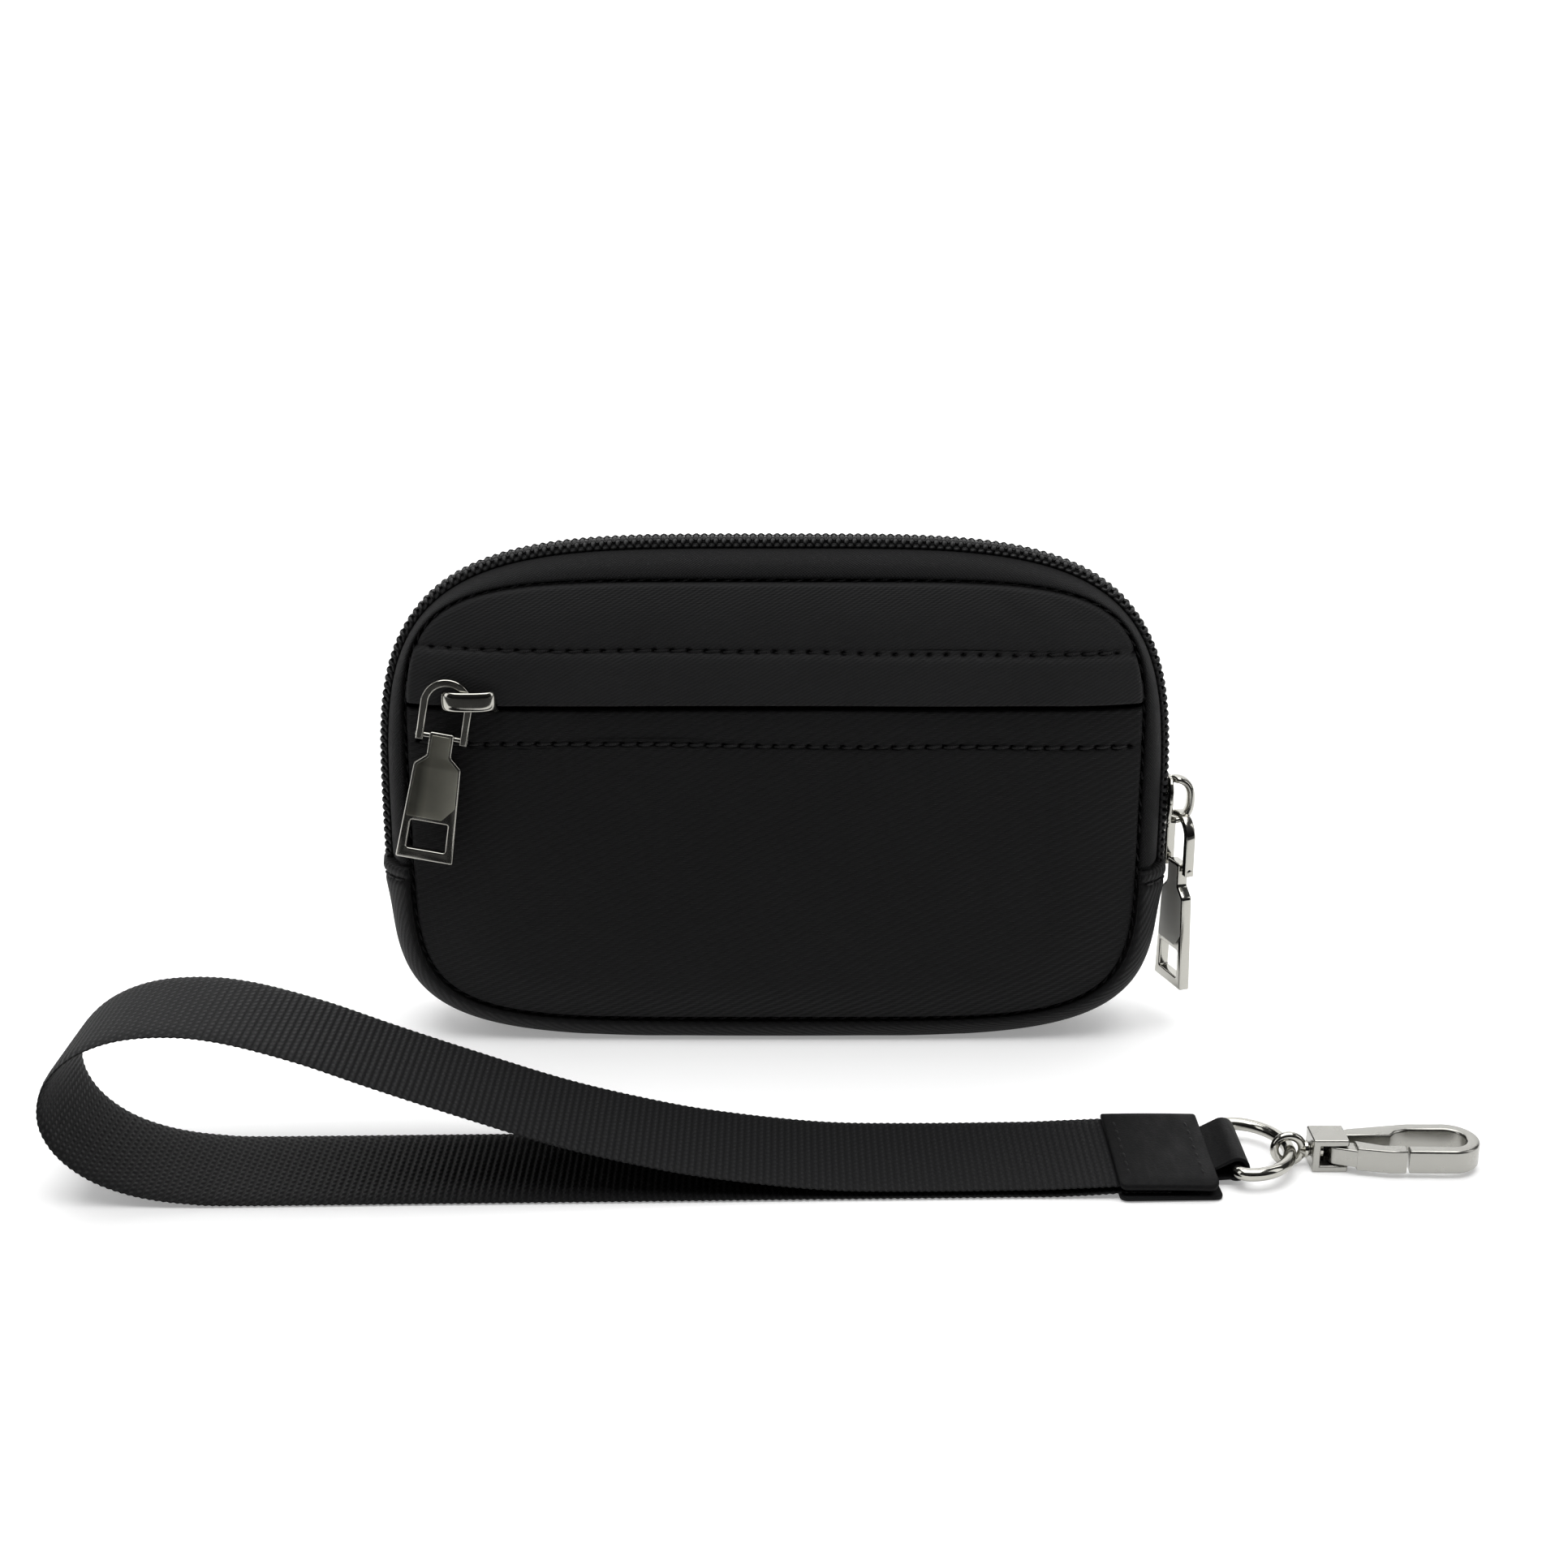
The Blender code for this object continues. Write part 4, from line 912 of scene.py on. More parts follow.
def build_welt(kit, columns):
    top = SLOT_Z - SLOT_HALF
    roll = 0.6
    face = cosine_steps(WELT_BOTTOM_Z - 0.4, top - roll, 26)
    fold = np.radians(np.linspace(0, 90, 8))[1:]
    heights = np.concatenate([face, top - roll + roll * np.sin(fold), [top - roll, top - 3.0]])
    lift = np.concatenate([np.zeros(len(face)), roll * np.cos(fold) - roll, [-2 * roll, -2 * roll]])
    x, depth, z = panel_grid(heights, columns, phase=3.0)
    above = z - WELT_BOTTOM_Z
    puff = 0.1 * np.sin(math.pi * np.clip(above / 5.5, 0, 1))
    depth = depth + puff + lift[:, None] - stitch_groove(x, z, WELT_BOTTOM_Z, 0.5) + 0.02
    build_skin("welt_band", "pocket_lower_welt", x, depth, z, -1, kit["twill"])


def build_back(kit):
    x, depth, z = panel_grid(cosine_steps(SEAM_LOW, SEAM_HIGH, 150), panel_columns(240), 4.2)
    build_skin("back_panel_cloth", "back_panel", x, depth, z, 1, kit["twill"])


# --- band round the sides: gusset and zip tapes ----------------------------------------
def band_grid(angles, acrosses, offset):
    """Grid between the two seams; offset moves it outwards, one value per across."""
    seam = outline_points(angles, SEAM, SEAM_GAP)
    crown = outline_points(angles, CROWN)
    rise = crown - seam
    reach = np.linalg.norm(rise, axis=1)
    direction = rise / reach[:, None]
    lift = np.cos(acrosses * math.pi / 2)
    offset = np.broadcast_to(offset, (len(angles), len(acrosses)))
    outwards = reach[:, None] * lift[None] + offset * (0.35 + 0.65 * lift[None])
    place = seam[:, None] + direction[:, None] * outwards[..., None]
    y = (BAND_HALF + offset * (1 - lift[None])) * np.sin(acrosses * math.pi / 2)[None]
    y = y - np.sign(acrosses)[None] * turn_in(reach[:, None] * lift[None], 0.8)
    return xyz(place[..., 0], y, place[..., 1])


def seam_side_acrosses(count, inner):
    """Across values from a seam (-1) to the chain, closer together at the seam."""
    acrosses = -2 / math.pi * np.arccos(np.linspace(0, 1, count) ** 2)
    return np.concatenate([acrosses[acrosses < inner], [inner]])


def band_weave(grid):
    along = path_lengths(grid[:, grid.shape[1] // 2])
    widths = np.stack([path_lengths(row) for row in grid])
    return xyz(np.broadcast_to(along[:, None], widths.shape), widths, 0 * widths)


def band_skirt(grid, columns):
    """Turns the edge columns in at the seam, then under the panels' turned edges."""
    for column in columns:
        turned = grid[:, column].copy()
        turned[:, 1] -= np.sign(turned[:, 1]) * 1.4
        under = turned.copy()
        under[:, [0, 2]] -= SKIRT * unit(turned[:, [0, 2]] - (0, RAY_CENTRE_Z))
        turned, under = turned[:, None], under[:, None]
        grid = np.concatenate([under, turned, grid] if column == 0 else [grid, turned, under], axis=1)
    return grid


def zip_angles(end_z, count):
    """Ray angles from the zip's right end over the top to its left end."""
    return even_angles(crown_angle(end_z, True), crown_angle(end_z, False), count, CROWN)


def over_chain(acrosses):
    """1 over the zip's chain and 0 beside it."""
    return np.exp(-(acrosses * HALF_DEPTH / CHAIN_CLEAR) ** 4)


def build_tapes(kit):
    angles = zip_angles(ZIP_END_Z - 1.5, 560)
    inner = -2 / math.pi * math.asin(0.9 / HALF_DEPTH)
    acrosses = seam_side_acrosses(30, inner)
    line = outline_points(angles, CROWN)
    above = line[:, 1] - np.where(line[:, 0] > 0, FOLD_Z["right"], FOLD_Z["left"])
    tuck = -1.1 * np.exp(-((above - 0.35) / 0.5) ** 2)
    for name, side in (("front", -1), ("back", 1)):
        grid = band_skirt(band_grid(angles, acrosses, tuck[:, None]), [0])
        grid[:, :, 1] *= -side
        piece = sheet_piece(f"zip_tape_{name}", grid, band_weave(grid), kit["tape"], "pouch",
                            (0, side, 0.3), 0.45)
        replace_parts(piece, f"main_zip_tape_{name}")


def build_gusset(kit):
    """U-shaped band whose folded ends cover the ends of the zip."""
    start = crown_angle(FOLD_Z["left"], False)
    angles = even_angles(start, crown_angle(FOLD_Z["right"], True) + 2 * math.pi, 560, CROWN)
    half = seam_side_acrosses(24, -0.02)
    acrosses = np.concatenate([half, -half[::-1]])
    along = path_lengths(outline_points(angles, CROWN))
    end = np.minimum(along, along[-1] - along)
    dent = 0.8 * np.exp(-((end - 2.4) / 0.6) ** 2)
    cover = 1.25 * np.exp(-(end / 6.5) ** 2)[:, None] * over_chain(acrosses)[None]
    offset = (GUSSET_PROUD - turn_in(end, 0.6) - dent)[:, None] + cover
    grid = band_grid(angles, acrosses, offset)
    grid[:, :, 2] = np.maximum(grid[:, :, 2], 0.02)
    grid = band_skirt(grid, [0, -1])
    hem = [band_skirt(band_grid(angles[[k]], acrosses, -0.9), [0, -1]) for k in (0, -1)]
    grid = np.concatenate([hem[0], grid, hem[1]])
    # the gusset cloth's darker colour is painted shade
    piece = sheet_piece("bottom_gusset_cloth", grid, band_weave(grid), kit["gusset_twill_painted_shade"], "pouch",
                        (0, 0, -1), SKIN_THICK)
    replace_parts(piece, "bottom_gusset")


# --- stitches ------------------------------------------------------------------------
def stitch_row(name, line, out, material, body, pitch=STITCH_PITCH, radius=0.21, share=0.8,
               slant=0.16, start=0.0, proud=0.12):
    """Thread stitches along a line. out is the direction away from the fabric."""
    travelled = path_lengths(line)
    out = np.broadcast_to(np.asarray(out, float), line.shape)
    parts = []
    steps = np.linspace(0, 1, 8)
    for index in range(int((travelled[-1] - start) / pitch)):
        begin = start + index * pitch + pitch * (1 - share) / 2
        marks = begin + steps * pitch * share
        spot = at_marks(marks, travelled, line)
        away = unit(at_marks(marks, travelled, out))
        side = unit(np.cross(away, np.gradient(spot, axis=0)))
        hump = np.sin(steps * math.pi)
        wobble = 0.04 * math.sin(index * 2.4)
        path = spot + away * ((hump ** 0.6) * (proud + radius) - radius * 1.3)[:, None]
        path = path + side * ((steps - 0.5) * 2 * slant + wobble)[:, None]
        parts.append(tube_parts(tube_rings(path, radius * (0.75 + 0.25 * hump), 7, away[4])))
    make_piece(name, *joined(parts), material, body)


def build_pocket_stitches(kit):
    for name, middle, deep, phase in (("flap_stitches", STITCH_LINE_Z, LINE_GROOVE, UPPER_PHASE),
                                      ("welt_stitches", WELT_BOTTOM_Z, WELT_GROOVE, LOWER_PHASE)):
        reach = float(half_width(middle, SEAM)) - 1.6
        x = np.linspace(-reach, reach, 900)
        z = line_height(x, middle)
        depth = face_depth(x, z, phase) - deep * 0.5 + 0.08
        line = xyz(x, -depth, z)
        start = STITCH_PITCH * math.ceil(x[0] / STITCH_PITCH) - x[0]
        stitch_row(name, line, (0, -1, 0), kit["thread"], "pouch", start=start, radius=0.25, share=0.86)


def build_seam_stitches(kit):
    """Small threads that show in the two seams' grooves."""
    for name, side in (("front", -1), ("back", 1)):
        angles = even_angles(0, 2 * math.pi, 1200, SEAM)
        spots = outline_points(angles, SEAM, 0.0)
        wave = 0.12 * np.sin(path_lengths(spots) / 1.7)
        spots = outline_points(angles, SEAM, wave)
        y = np.full(len(spots), side * (HALF_DEPTH - 0.75))
        line = xyz(spots[:, 0], y, spots[:, 1])
        stitch_row(f"seam_stitches_{name}", line, (0, side, 0), kit["thread"], "pouch", 2.6, 0.16, 0.62,
                   0.2, 0.0, 0.1)


def build_zip_end_stitches(kit):
    acrosses = np.linspace(-0.86, 0.86, 160)
    for name, right in (("left", False), ("right", True)):
        angle = crown_angle(FOLD_Z[name] - 2.4, right)
        line = band_grid(np.array([angle]), acrosses, GUSSET_PROUD - 0.35 + 1.09 * over_chain(acrosses))[0]
        out = line * (1.0, 1.0, 0.0)
        stitch_row(f"zip_end_stitches_{name}", line, out, kit["thread"], "pouch", 2.9, 0.22, 0.8, 0.1,
                   0.3, 0.15)


# --- main zip's chain ------------------------------------------------------------------
class Chain:
    """Maps a place on the chain, as along, across and height, to a point."""

    def __init__(self):
        angles = zip_angles(ZIP_END_Z - 1.0, 900)
        self.line = outline_points(angles, CROWN)
        self.travelled = path_lengths(self.line)
        seam = outline_points(angles, SEAM, SEAM_GAP)
        self.rise = np.linalg.norm(self.line - seam, axis=1)
        along = headings(self.line)
        self.out = np.stack([along[:, 1], -along[:, 0]], axis=-1)
        self.length = self.travelled[-1]

    def at(self, values, marks):
        return np.interp(marks, self.travelled, values)

    def points(self, marks, y, height):
        marks, y, height = np.broadcast_arrays(marks, y, height)
        drop = (1 - np.sqrt(1 - (y / BAND_HALF) ** 2)) * self.at(self.rise, marks)
        away = height - drop
        x = self.at(self.line[:, 0], marks) + self.at(self.out[:, 0], marks) * away
        z = self.at(self.line[:, 1], marks) + self.at(self.out[:, 1], marks) * away
        return xyz(x, y, z)


def tooth_path(side):
    """One turn of the coil as (along, across, height), from lower leg to the next one."""
    head = -0.42
    turn = [(0.0, 2.7, COIL_LOW), (0.0, 1.2, COIL_LOW), (0.0, 0.1, COIL_LOW), (0.0, head, 0.5),
            (0.0, head - 0.06, 0.72), (0.0, head, 0.95), (0.0, 0.1, COIL_HIGH), (0.0, 1.2, COIL_HIGH + 0.03),
            (0.02, 2.3, COIL_HIGH), (0.04, 2.8, 1.0), (0.08, COIL_REACH - 0.04, 0.74),
            (0.2, COIL_REACH - 0.04, 0.48), (0.7, 2.95, 0.3), (1.25, 2.8, 0.28)]
    return np.array([(a, side * y, h) for a, y, h in turn])


def build_coils(kit, chain):
    count = int(chain.length / TOOTH_PITCH) - 1
    for name, side in (("front", -1), ("back", 1)):
        turn = tooth_path(side)
        shift = 0.0 if side < 0 else TOOTH_PITCH / 2
        starts = shift + TOOTH_PITCH * np.arange(count)
        marks = (starts[:, None] + turn[None, :, 0]).ravel()
        y = np.tile(turn[:, 1], count)
        height = np.tile(turn[:, 2], count)
        head = np.exp(-((side * y + 0.42) / 0.5) ** 2)
        shoulder = np.exp(-((side * y - 2.5) / 0.6) ** 2) * (height > 0.9)
        path = chain.points(marks, y, height)
        rings = tube_rings(path, COIL_WIRE * (1 + 0.3 * head + 0.3 * shoulder), 8, COIL_ASIDE)
        coil = make_piece(f"coil_{name}", *tube_parts(rings), kit["coil"], "pouch")
        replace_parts(coil, f"main_zip_coil_{name}")
        build_coil_threads(kit, chain, name, side, shift)


def build_coil_threads(kit, chain, name, side, shift):
    """Two core cords inside the coil, and two lines of chain stitch that hold it to its tape."""
    marks = np.arange(0.4, chain.length - 0.4, TOOTH_PITCH / 8)
    parts = []
    for across, height, radius in ((1.75, 0.7, 0.42), (2.45, 0.42, 0.36)):
        core = chain.points(marks, side * across, np.full_like(marks, height))
        parts.append(tube_parts(tube_rings(core, radius, 8, COIL_ASIDE)))
    beat = 0.5 + 0.5 * np.cos(2 * math.pi * (marks - shift) / TOOTH_PITCH)
    for across in (1.45, 1.95):
        height = COIL_HIGH - 0.02 + 0.36 * beat
        path = chain.points(marks, side * (across + 0.06 * np.sin(marks * 2.1)), height)
        parts.append(tube_parts(tube_rings(path, 0.2, 6, COIL_ASIDE)))
    make_piece(f"coil_threads_{name}", *joined(parts), kit["thread"], "pouch")


# --- sliders and pulls -----------------------------------------------------------------
def link_loop():
    outer, inner, foot = 4.75, 3.35, -7.3
    shape = [(outer, foot)] + arc((0, 0), outer, 0, 180, 40) + [(-outer, foot), (-inner, foot)]
    return shape + arc((0, 0), inner, 180, 0, 34) + [(inner, foot)]


def tab_loops():
    neck, shoulder, foot, long = 2.25, 4.35, 5.35, 24.2
    right = [(neck, 0.9), (neck, -3.6), (shoulder, -5.5), (foot, -long)]
    outer = rounded(mirrored(right, (-1, 1)), 0.45)
    right = [(3.45, -long + 7.6), (3.6, -long + 2.1)]
    window = rounded(mirrored(right, (-1, 1)), 0.4)
    return outer, window


def inlay_loop():
    """Sunk face of a tab: narrow in the neck, one lower corner cut off."""
    return rounded([(1.75, 0.3), (1.75, -3.85), (3.85, -5.8), (4.25, -13.2), (2.2, -15.8), (-4.4, -15.8),
                    (-3.85, -5.8), (-1.75, -3.85), (-1.75, 0.3)], 0.3)


def build_pull(kit, prefix, arch, pin, across, link_half, tab_half, face_finish):
    """Horseshoe link, pin and bottle-shaped tab, hung from one place.

    arch is the link's turning point, pin the tab's, across the direction of both axes, and
    link_half and tab_half are half thicknesses.
    """
    across = Vector(across).normalized()
    down = (Vector(pin) - Vector(arch)).normalized()
    turn = axes_turn(across, -down)
    facing = across.cross(-down)
    link = plate(f"{prefix}_link", [link_loop()], link_half, 0.3, kit["nickel"], f"{prefix}_link", turn, arch)
    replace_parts(link, f"{prefix}_pull_link")
    outer, window = tab_loops()
    tab = plate(f"{prefix}_tab", [outer, window], tab_half, 0.34, kit["nickel"], f"{prefix}_tab", turn, pin)
    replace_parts(tab, f"{prefix}_pull_tab")
    for number, side in enumerate((1, -1)):
        place = Vector(pin) + facing * side * (tab_half - 0.06)
        face = plate(f"{prefix}_tab_face_{number}", [inlay_loop()], 0.1, 0.05, kit[face_finish],
                     f"{prefix}_tab", turn, place)
        add_weave(face, turn, place)
    half, radius = 4.85, 0.5
    reach = np.array([-half, 0.08 - half, half - 0.08, half])
    path = np.array(pin)[None] + reach[:, None] * np.array(across)[None]
    rings = tube_rings(path, [radius * 0.8, radius, radius, radius * 0.8], 24, down)
    pin_piece = make_piece(f"{prefix}_pin", *tube_parts(rings), kit["nickel"], f"{prefix}_link", sharp=50)
    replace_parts(outward_faces(pin_piece), f"{prefix}_pull_pin")


def build_pulls(kit):
    top, axis = joint_place("main_link_swing")
    arch = top - np.array([0, 0, 4.05])
    pin, _ = joint_place("main_tab_swing")
    build_pull(kit, "main", arch, pin, axis, 0.95, 1.05, "frosted")
    arch, _ = joint_place("pocket_link_swing")
    pin, axis = joint_place("pocket_tab_swing")
    # the pocket tab's faces carry painted shade and a painted dark reflection
    build_pull(kit, "pocket", arch, pin, -axis, 0.7, 0.8, "painted_shade_nickel")


def wing_loop(scale):
    long, wide = 5.5 * scale, 4.3 * scale
    right = [(-long, wide * 0.52), (-long * 0.66, wide * 0.58), (-long * 0.1, wide), (long * 0.55, wide),
             (long, wide * 0.62)]
    return rounded(mirrored(right, (1, -1)), 1.1, 6)


def left_of(along):
    """Flat directions turned a quarter to the left."""
    return np.stack([-along[:, 1], along[:, 0]], axis=-1)


def signed_power(values, power):
    return np.sign(values) * np.abs(values) ** power


def bail_rings(path, across, wide, thick):
    """Strap with rounded edges along a path of (along, out) points."""
    normal = left_of(headings(path))
    turn = full_turn(28)
    flat = signed_power(np.cos(turn), 0.8)
    full = signed_power(np.sin(turn), 0.85)
    offset = thick[:, None] / 2 * full[None]
    u = path[:, :1] + normal[:, :1] * offset
    w = path[:, 1:] + normal[:, 1:] * offset
    v = across[:, None] + wide[:, None] / 2 * flat[None]
    return xyz(u, v, w)


def build_slider(kit, node, turn, origin, wings, arch, fin):
    """Slider in its own frame: x along the zip, y across it and z outwards.

    wings are the two plates' middles and the outer one's scale, arch is the bail's base,
    top, middle across the zip, half length, width and thickness, and fin is half the
    thickness of what passes between the stringers.
    """
    inner_wing, outer_wing, wing_scale = wings
    base, top, middle, half_long, full_wide, middle_thick = arch
    origin = Vector(origin)
    for number, (level, scale) in enumerate(((outer_wing, wing_scale), (inner_wing, 0.94))):
        place = origin + turn @ Vector((0, 0, level))
        wing = plate(f"{node}_wing_{number}", [wing_loop(scale)], 0.4, 0.28, kit["nickel"], node, turn,
                     place, 4)
        if number == 0:
            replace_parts(wing, node)
    angles = np.radians(np.linspace(0, 180, 61))
    arc_u = half_long * signed_power(np.cos(angles), 0.8)
    arc_w = base + (top - middle_thick / 2 - base) * np.sin(angles) ** 0.76
    stem = np.linspace(outer_wing, base, 12)[:-1]
    u = np.concatenate([np.full(11, half_long), arc_u, np.full(11, -half_long)])
    w = np.concatenate([stem, arc_w, stem[::-1]])
    rise = np.clip((w - base) / 1.0, 0, 1) ** 0.7
    wide = 2 * fin + (full_wide - 2 * fin) * rise
    thick = middle_thick - 0.2 + 0.2 * np.sin(np.linspace(0, math.pi, len(u)))
    rings = bail_rings(np.stack([u, w], axis=-1), middle * rise, wide, thick)
    points, faces = tube_parts(rings)
    points = np.array([tuple(origin + turn @ Vector(point)) for point in points])
    bail = outward_faces(make_piece(f"{node}_bail", points, faces, kit["nickel"], node, sharp=50))
    neck = [(1.4, fin), (4.4, fin), (4.4, -fin), (1.4, -fin)]
    place = origin + turn @ Vector((0, 0, (inner_wing + outer_wing) / 2))
    post = plate(f"{node}_neck", [rounded(neck, 0.2)], (outer_wing - inner_wing) / 2, 0.05, kit["nickel"],
                 node, turn, place)


def build_sliders(kit):
    low, high = corners("main_slider")
    surface = float(half_width(46.0, CROWN))
    build_slider(kit, "main_slider", axes_turn((0, 0, 1), (0, -1, 0)),
                 (surface, 0, (low[2] + high[2]) / 2), (-2.8, 2.1, 0.84),
                 (2.5, 7.05, 0.0, 4.1, 3.2, 1.6), 0.4)
    low, high = corners("pocket_slider")
    build_slider(kit, "pocket_slider", axes_turn((1, 0, 0), (0, 0, 1)),
                 ((low[0] + high[0]) / 2, -8.1, SLOT_Z), (-1.25, 2.45, 0.8),
                 (6.15, 9.05, 2.15, 4.72, 3.6, 1.05), 0.4)


# --- wrist strap -----------------------------------------------------------------------
def strap_route():
    """Side view of the webbing's middle, as in the CAD model."""
    low, high = CAP_LAYERS_Z
    floor = WEB_THICK / 2
    upper = [(WEB_END_X, high), (59.0, high), (51.0, WEB_TOP_Z + 0.35), (42.0, WEB_TOP_Z),
             (22.0, WEB_TOP_Z), (8.0, 2.3), (-8.0, 4.3), (-20.0, 6.6),
             (-36.0, 10.9), (-53.5, 17.1), (-66.0, 21.8), (-77.5, 26.3), (-89.0, 29.8),
             (-98.0, 31.0), (-106.8, 30.2), (-114.1, 27.1), (-118.9, 22.0), (-120.3, 16.0),
             (-118.3, 10.4), (-113.4, 5.7), (-106.4, 2.6), (-97.5, 1.0)]
    return upper + [(-86.0, floor), (-40.0, floor), (10.0, floor), (42.0, floor),
                    (51.0, floor + 0.25), (59.0, low), (WEB_END_X, low)]


def smooth_route(points, spacing):
    """Even steps along a Catmull-Rom curve through the points."""
    points = np.array(points, dtype=float)
    ends = np.vstack([2 * points[0] - points[1], points, 2 * points[-1] - points[-2]])
    dense = []
    for i in range(1, len(ends) - 2):
        p0, p1, p2, p3 = ends[i - 1:i + 3]
        for t in np.linspace(0, 1, 40, endpoint=False):
            dense.append(0.5 * (2 * p1 + (p2 - p0) * t + (2 * p0 - 5 * p1 + 4 * p2 - p3) * t ** 2
                                + (3 * p1 - p0 - 3 * p2 + p3) * t ** 3))
    dense = np.array(dense + [points[-1]])
    travelled = path_lengths(dense)
    marks = np.linspace(0, travelled[-1], int(round(travelled[-1] / spacing)) + 1)
    return at_marks(marks, travelled, dense), marks


def strap_middle_y(x):
    return STRAP_Y - WEB_SKEW * np.clip((40.0 - x) / 140.0, 0.0, 1.0)


def build_webbing(kit):
    """One woven band, folded into the wrist loop, with scalloped selvedges."""
    route, marks = smooth_route(strap_route(), WEB_RIB / 6)
    route[:, 1] = np.maximum(route[:, 1], WEB_THICK / 2)
    normal = left_of(headings(route))
    share = np.linspace(-1, 1, 19)
    edge = np.abs(share) ** 12
    rib = np.cos(2 * math.pi * marks / WEB_RIB)
    selvedge = WEB_WIDE / 2 - 0.1 + 0.14 * rib
    middle = strap_middle_y(route[:, 0])
    sides = []
    for side in (1, -1):
        across = share * side
        height = (WEB_THICK / 2 - 0.07 - 0.3 * edge)[None] + 0.06 * rib[:, None] * (1 - edge)[None]
        height = side * height
        x = route[:, :1] + normal[:, :1] * height
        z = route[:, 1:] + normal[:, 1:] * height
        y = middle[:, None] + selvedge[:, None] * across[None]
        sides.append(xyz(x, y, z))
    rings = np.concatenate(sides, axis=1)
    points, faces = tube_parts(rings)
    across = np.concatenate([share, -share]) * WEB_WIDE / 2
    weave = xyz(*np.broadcast_arrays(marks[:, None], across[None], 0.0))
    web = make_piece("webbing_band", points, faces, kit["web"], "strap", weave.reshape(-1, 3), sharp=60)
    outward_faces(web)
    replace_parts(web, "strap_webbing")


def build_cap(kit):
    """Two leather layers sewn over the webbing's ends."""
    low, high = corners("end_cap")
    middle = (low + high) / 2
    half_x, half_y = (high - low)[:2] / 2
    thick = 0.95
    for name, z, grow in (("top", high[2] - thick / 2, 0.0), ("bottom", thick / 2 + 0.02, 0.25)):
        box = [(half_x + grow, half_y), (-half_x - grow, half_y), (-half_x - grow, -half_y),
               (half_x + grow, -half_y)]
        skew = Matrix.Rotation(math.radians(-0.4 if name == "top" else 2.2), 3, "Z")
        layer = plate(f"cap_{name}", [rounded(box, 1.6, 6)], thick / 2, 0.34, kit["leather"], "strap",
                      skew, (middle[0], middle[1], z), 4)
        bend_cap(layer, middle, half_x, half_y, name == "top")
        if name == "top":
            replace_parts(layer, "end_cap")
    top = high[2]
    for name, x in (("web_side", low[0] + 2.0), ("ring_side", high[0] - 2.4)):
        y = np.linspace(low[1] + 2.2, high[1] - 2.2, 120)
        line = xyz(np.full_like(y, x), y, np.full_like(y, top - 0.12))
        stitch_row(f"cap_stitches_{name}", line, (0, 0, 1), kit["thread"], "strap", 2.9, 0.27, 0.74, 0.14,
                   0.4, 0.08)


def bend_cap(layer, middle, half_x, half_y, top):
    """Draws the layer's long edges towards the other layer, and bows the top layer slightly along its length.
    """
    shape = to_bmesh(layer.data)
    for axis, half in ((0, half_x), (1, half_y)):
        direction = Vector([float(k == axis) for k in range(3)])
        for step in range(1, 20):
            spot = direction * ((middle[axis] + (-1 + step / 10) * half) * MM)
            geometry = shape.verts[:] + shape.edges[:] + shape.faces[:]
            bmesh.ops.bisect_plane(shape, geom=geometry, plane_co=spot, plane_no=direction)
    sign = -1 if top else 0.25
    for vertex in shape.verts:
        x, y = vertex.co[0] / MM - middle[0], vertex.co[1] / MM - middle[1]
        near_edge = max(0.0, abs(y) / half_y - 0.86) / 0.14
        crown = 0.12 * math.cos(x / half_x * 1.4) if top else 0.0
        vertex.co[2] += (sign * 0.75 * near_edge ** 2 + crown - 0.12 * (1 if top else 0)) * MM
    write_back(shape, layer.data)
    layer.data.shade_smooth()
    layer.data.set_sharp_from_angle(angle=math.radians(40))


def build_ring_tab(kit):
    """Leather strip folded round the D-ring's bar."""
    low, high = corners("ring_tab")
    bar, _ = joint_place("ring_swing")
    inner, thick = 1.5, 0.8
    outer = inner + thick
    centre = (bar[0], bar[2])
    mouth, start = 73.6, low[0]
    top_z, low_z = 3.0, 0.85
    outline = [(start, top_z), (mouth, top_z)] + arc(centre, outer - 0.1, 122, -118, 26)
    outline += [(mouth, low_z), (start, low_z), (start, low_z + 0.6), (mouth, low_z + 0.6)]
    outline += arc(centre, inner, -112, 114, 22) + [(mouth, top_z - 0.6), (start, top_z - 0.6)]
    half = (high - low)[1] / 2
    middle = (low + high)[1] / 2
    turn = axes_turn((1, 0, 0), (0, 0, 1))
    tab = plate("ring_tab_leather", [outline], half, 0.16, kit["leather"], "strap", turn, (0, middle, 0))
    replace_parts(tab, "ring_tab")


def closed_wire(name, path, radius, sides, material, body, reference):
    """Round wire along a closed path."""
    count = len(path)
    around = np.concatenate([path[-3:], path, path[:3]])
    rings = tube_rings(around, radius, sides, reference)[3:3 + count]
    return outward_faces(make_piece(name, *tube_parts(rings, closed=True), material, body))


def build_ring(kit):
    bar, _ = joint_place("ring_swing")
    low, high = corners("d_ring")
    wire = (high - low)[2] / 2
    half = (high - low)[1] / 2 - wire
    reach = high[0] - wire - bar[0]
    corner = 2.0
    straight = [(0.0, y) for y in np.linspace(-half + corner, half - corner, 40)]
    first = arc((corner, half - corner), corner, 180, 90, 12)[1:]
    bow = [(corner + (reach - corner) * math.cos(a), half * math.sin(a))
           for a in np.radians(np.linspace(86, -86, 90))]
    last = arc((corner, -half + corner), corner, -90, -180, 12)[:-1]
    outline = np.array(straight + first + bow + last)
    outline = np.vstack([outline, outline[:1]])
    travelled = path_lengths(outline)
    marks = np.linspace(0, travelled[-1], 180, endpoint=False)
    x, y = at_marks(marks, travelled, outline).T
    path = xyz(bar[0] + x, bar[1] + y, np.full_like(x, bar[2]))
    ring = closed_wire("d_ring_wire", path, wire, 20, kit["nickel"], "d_ring", (0, 0, 1))
    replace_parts(ring, "d_ring")


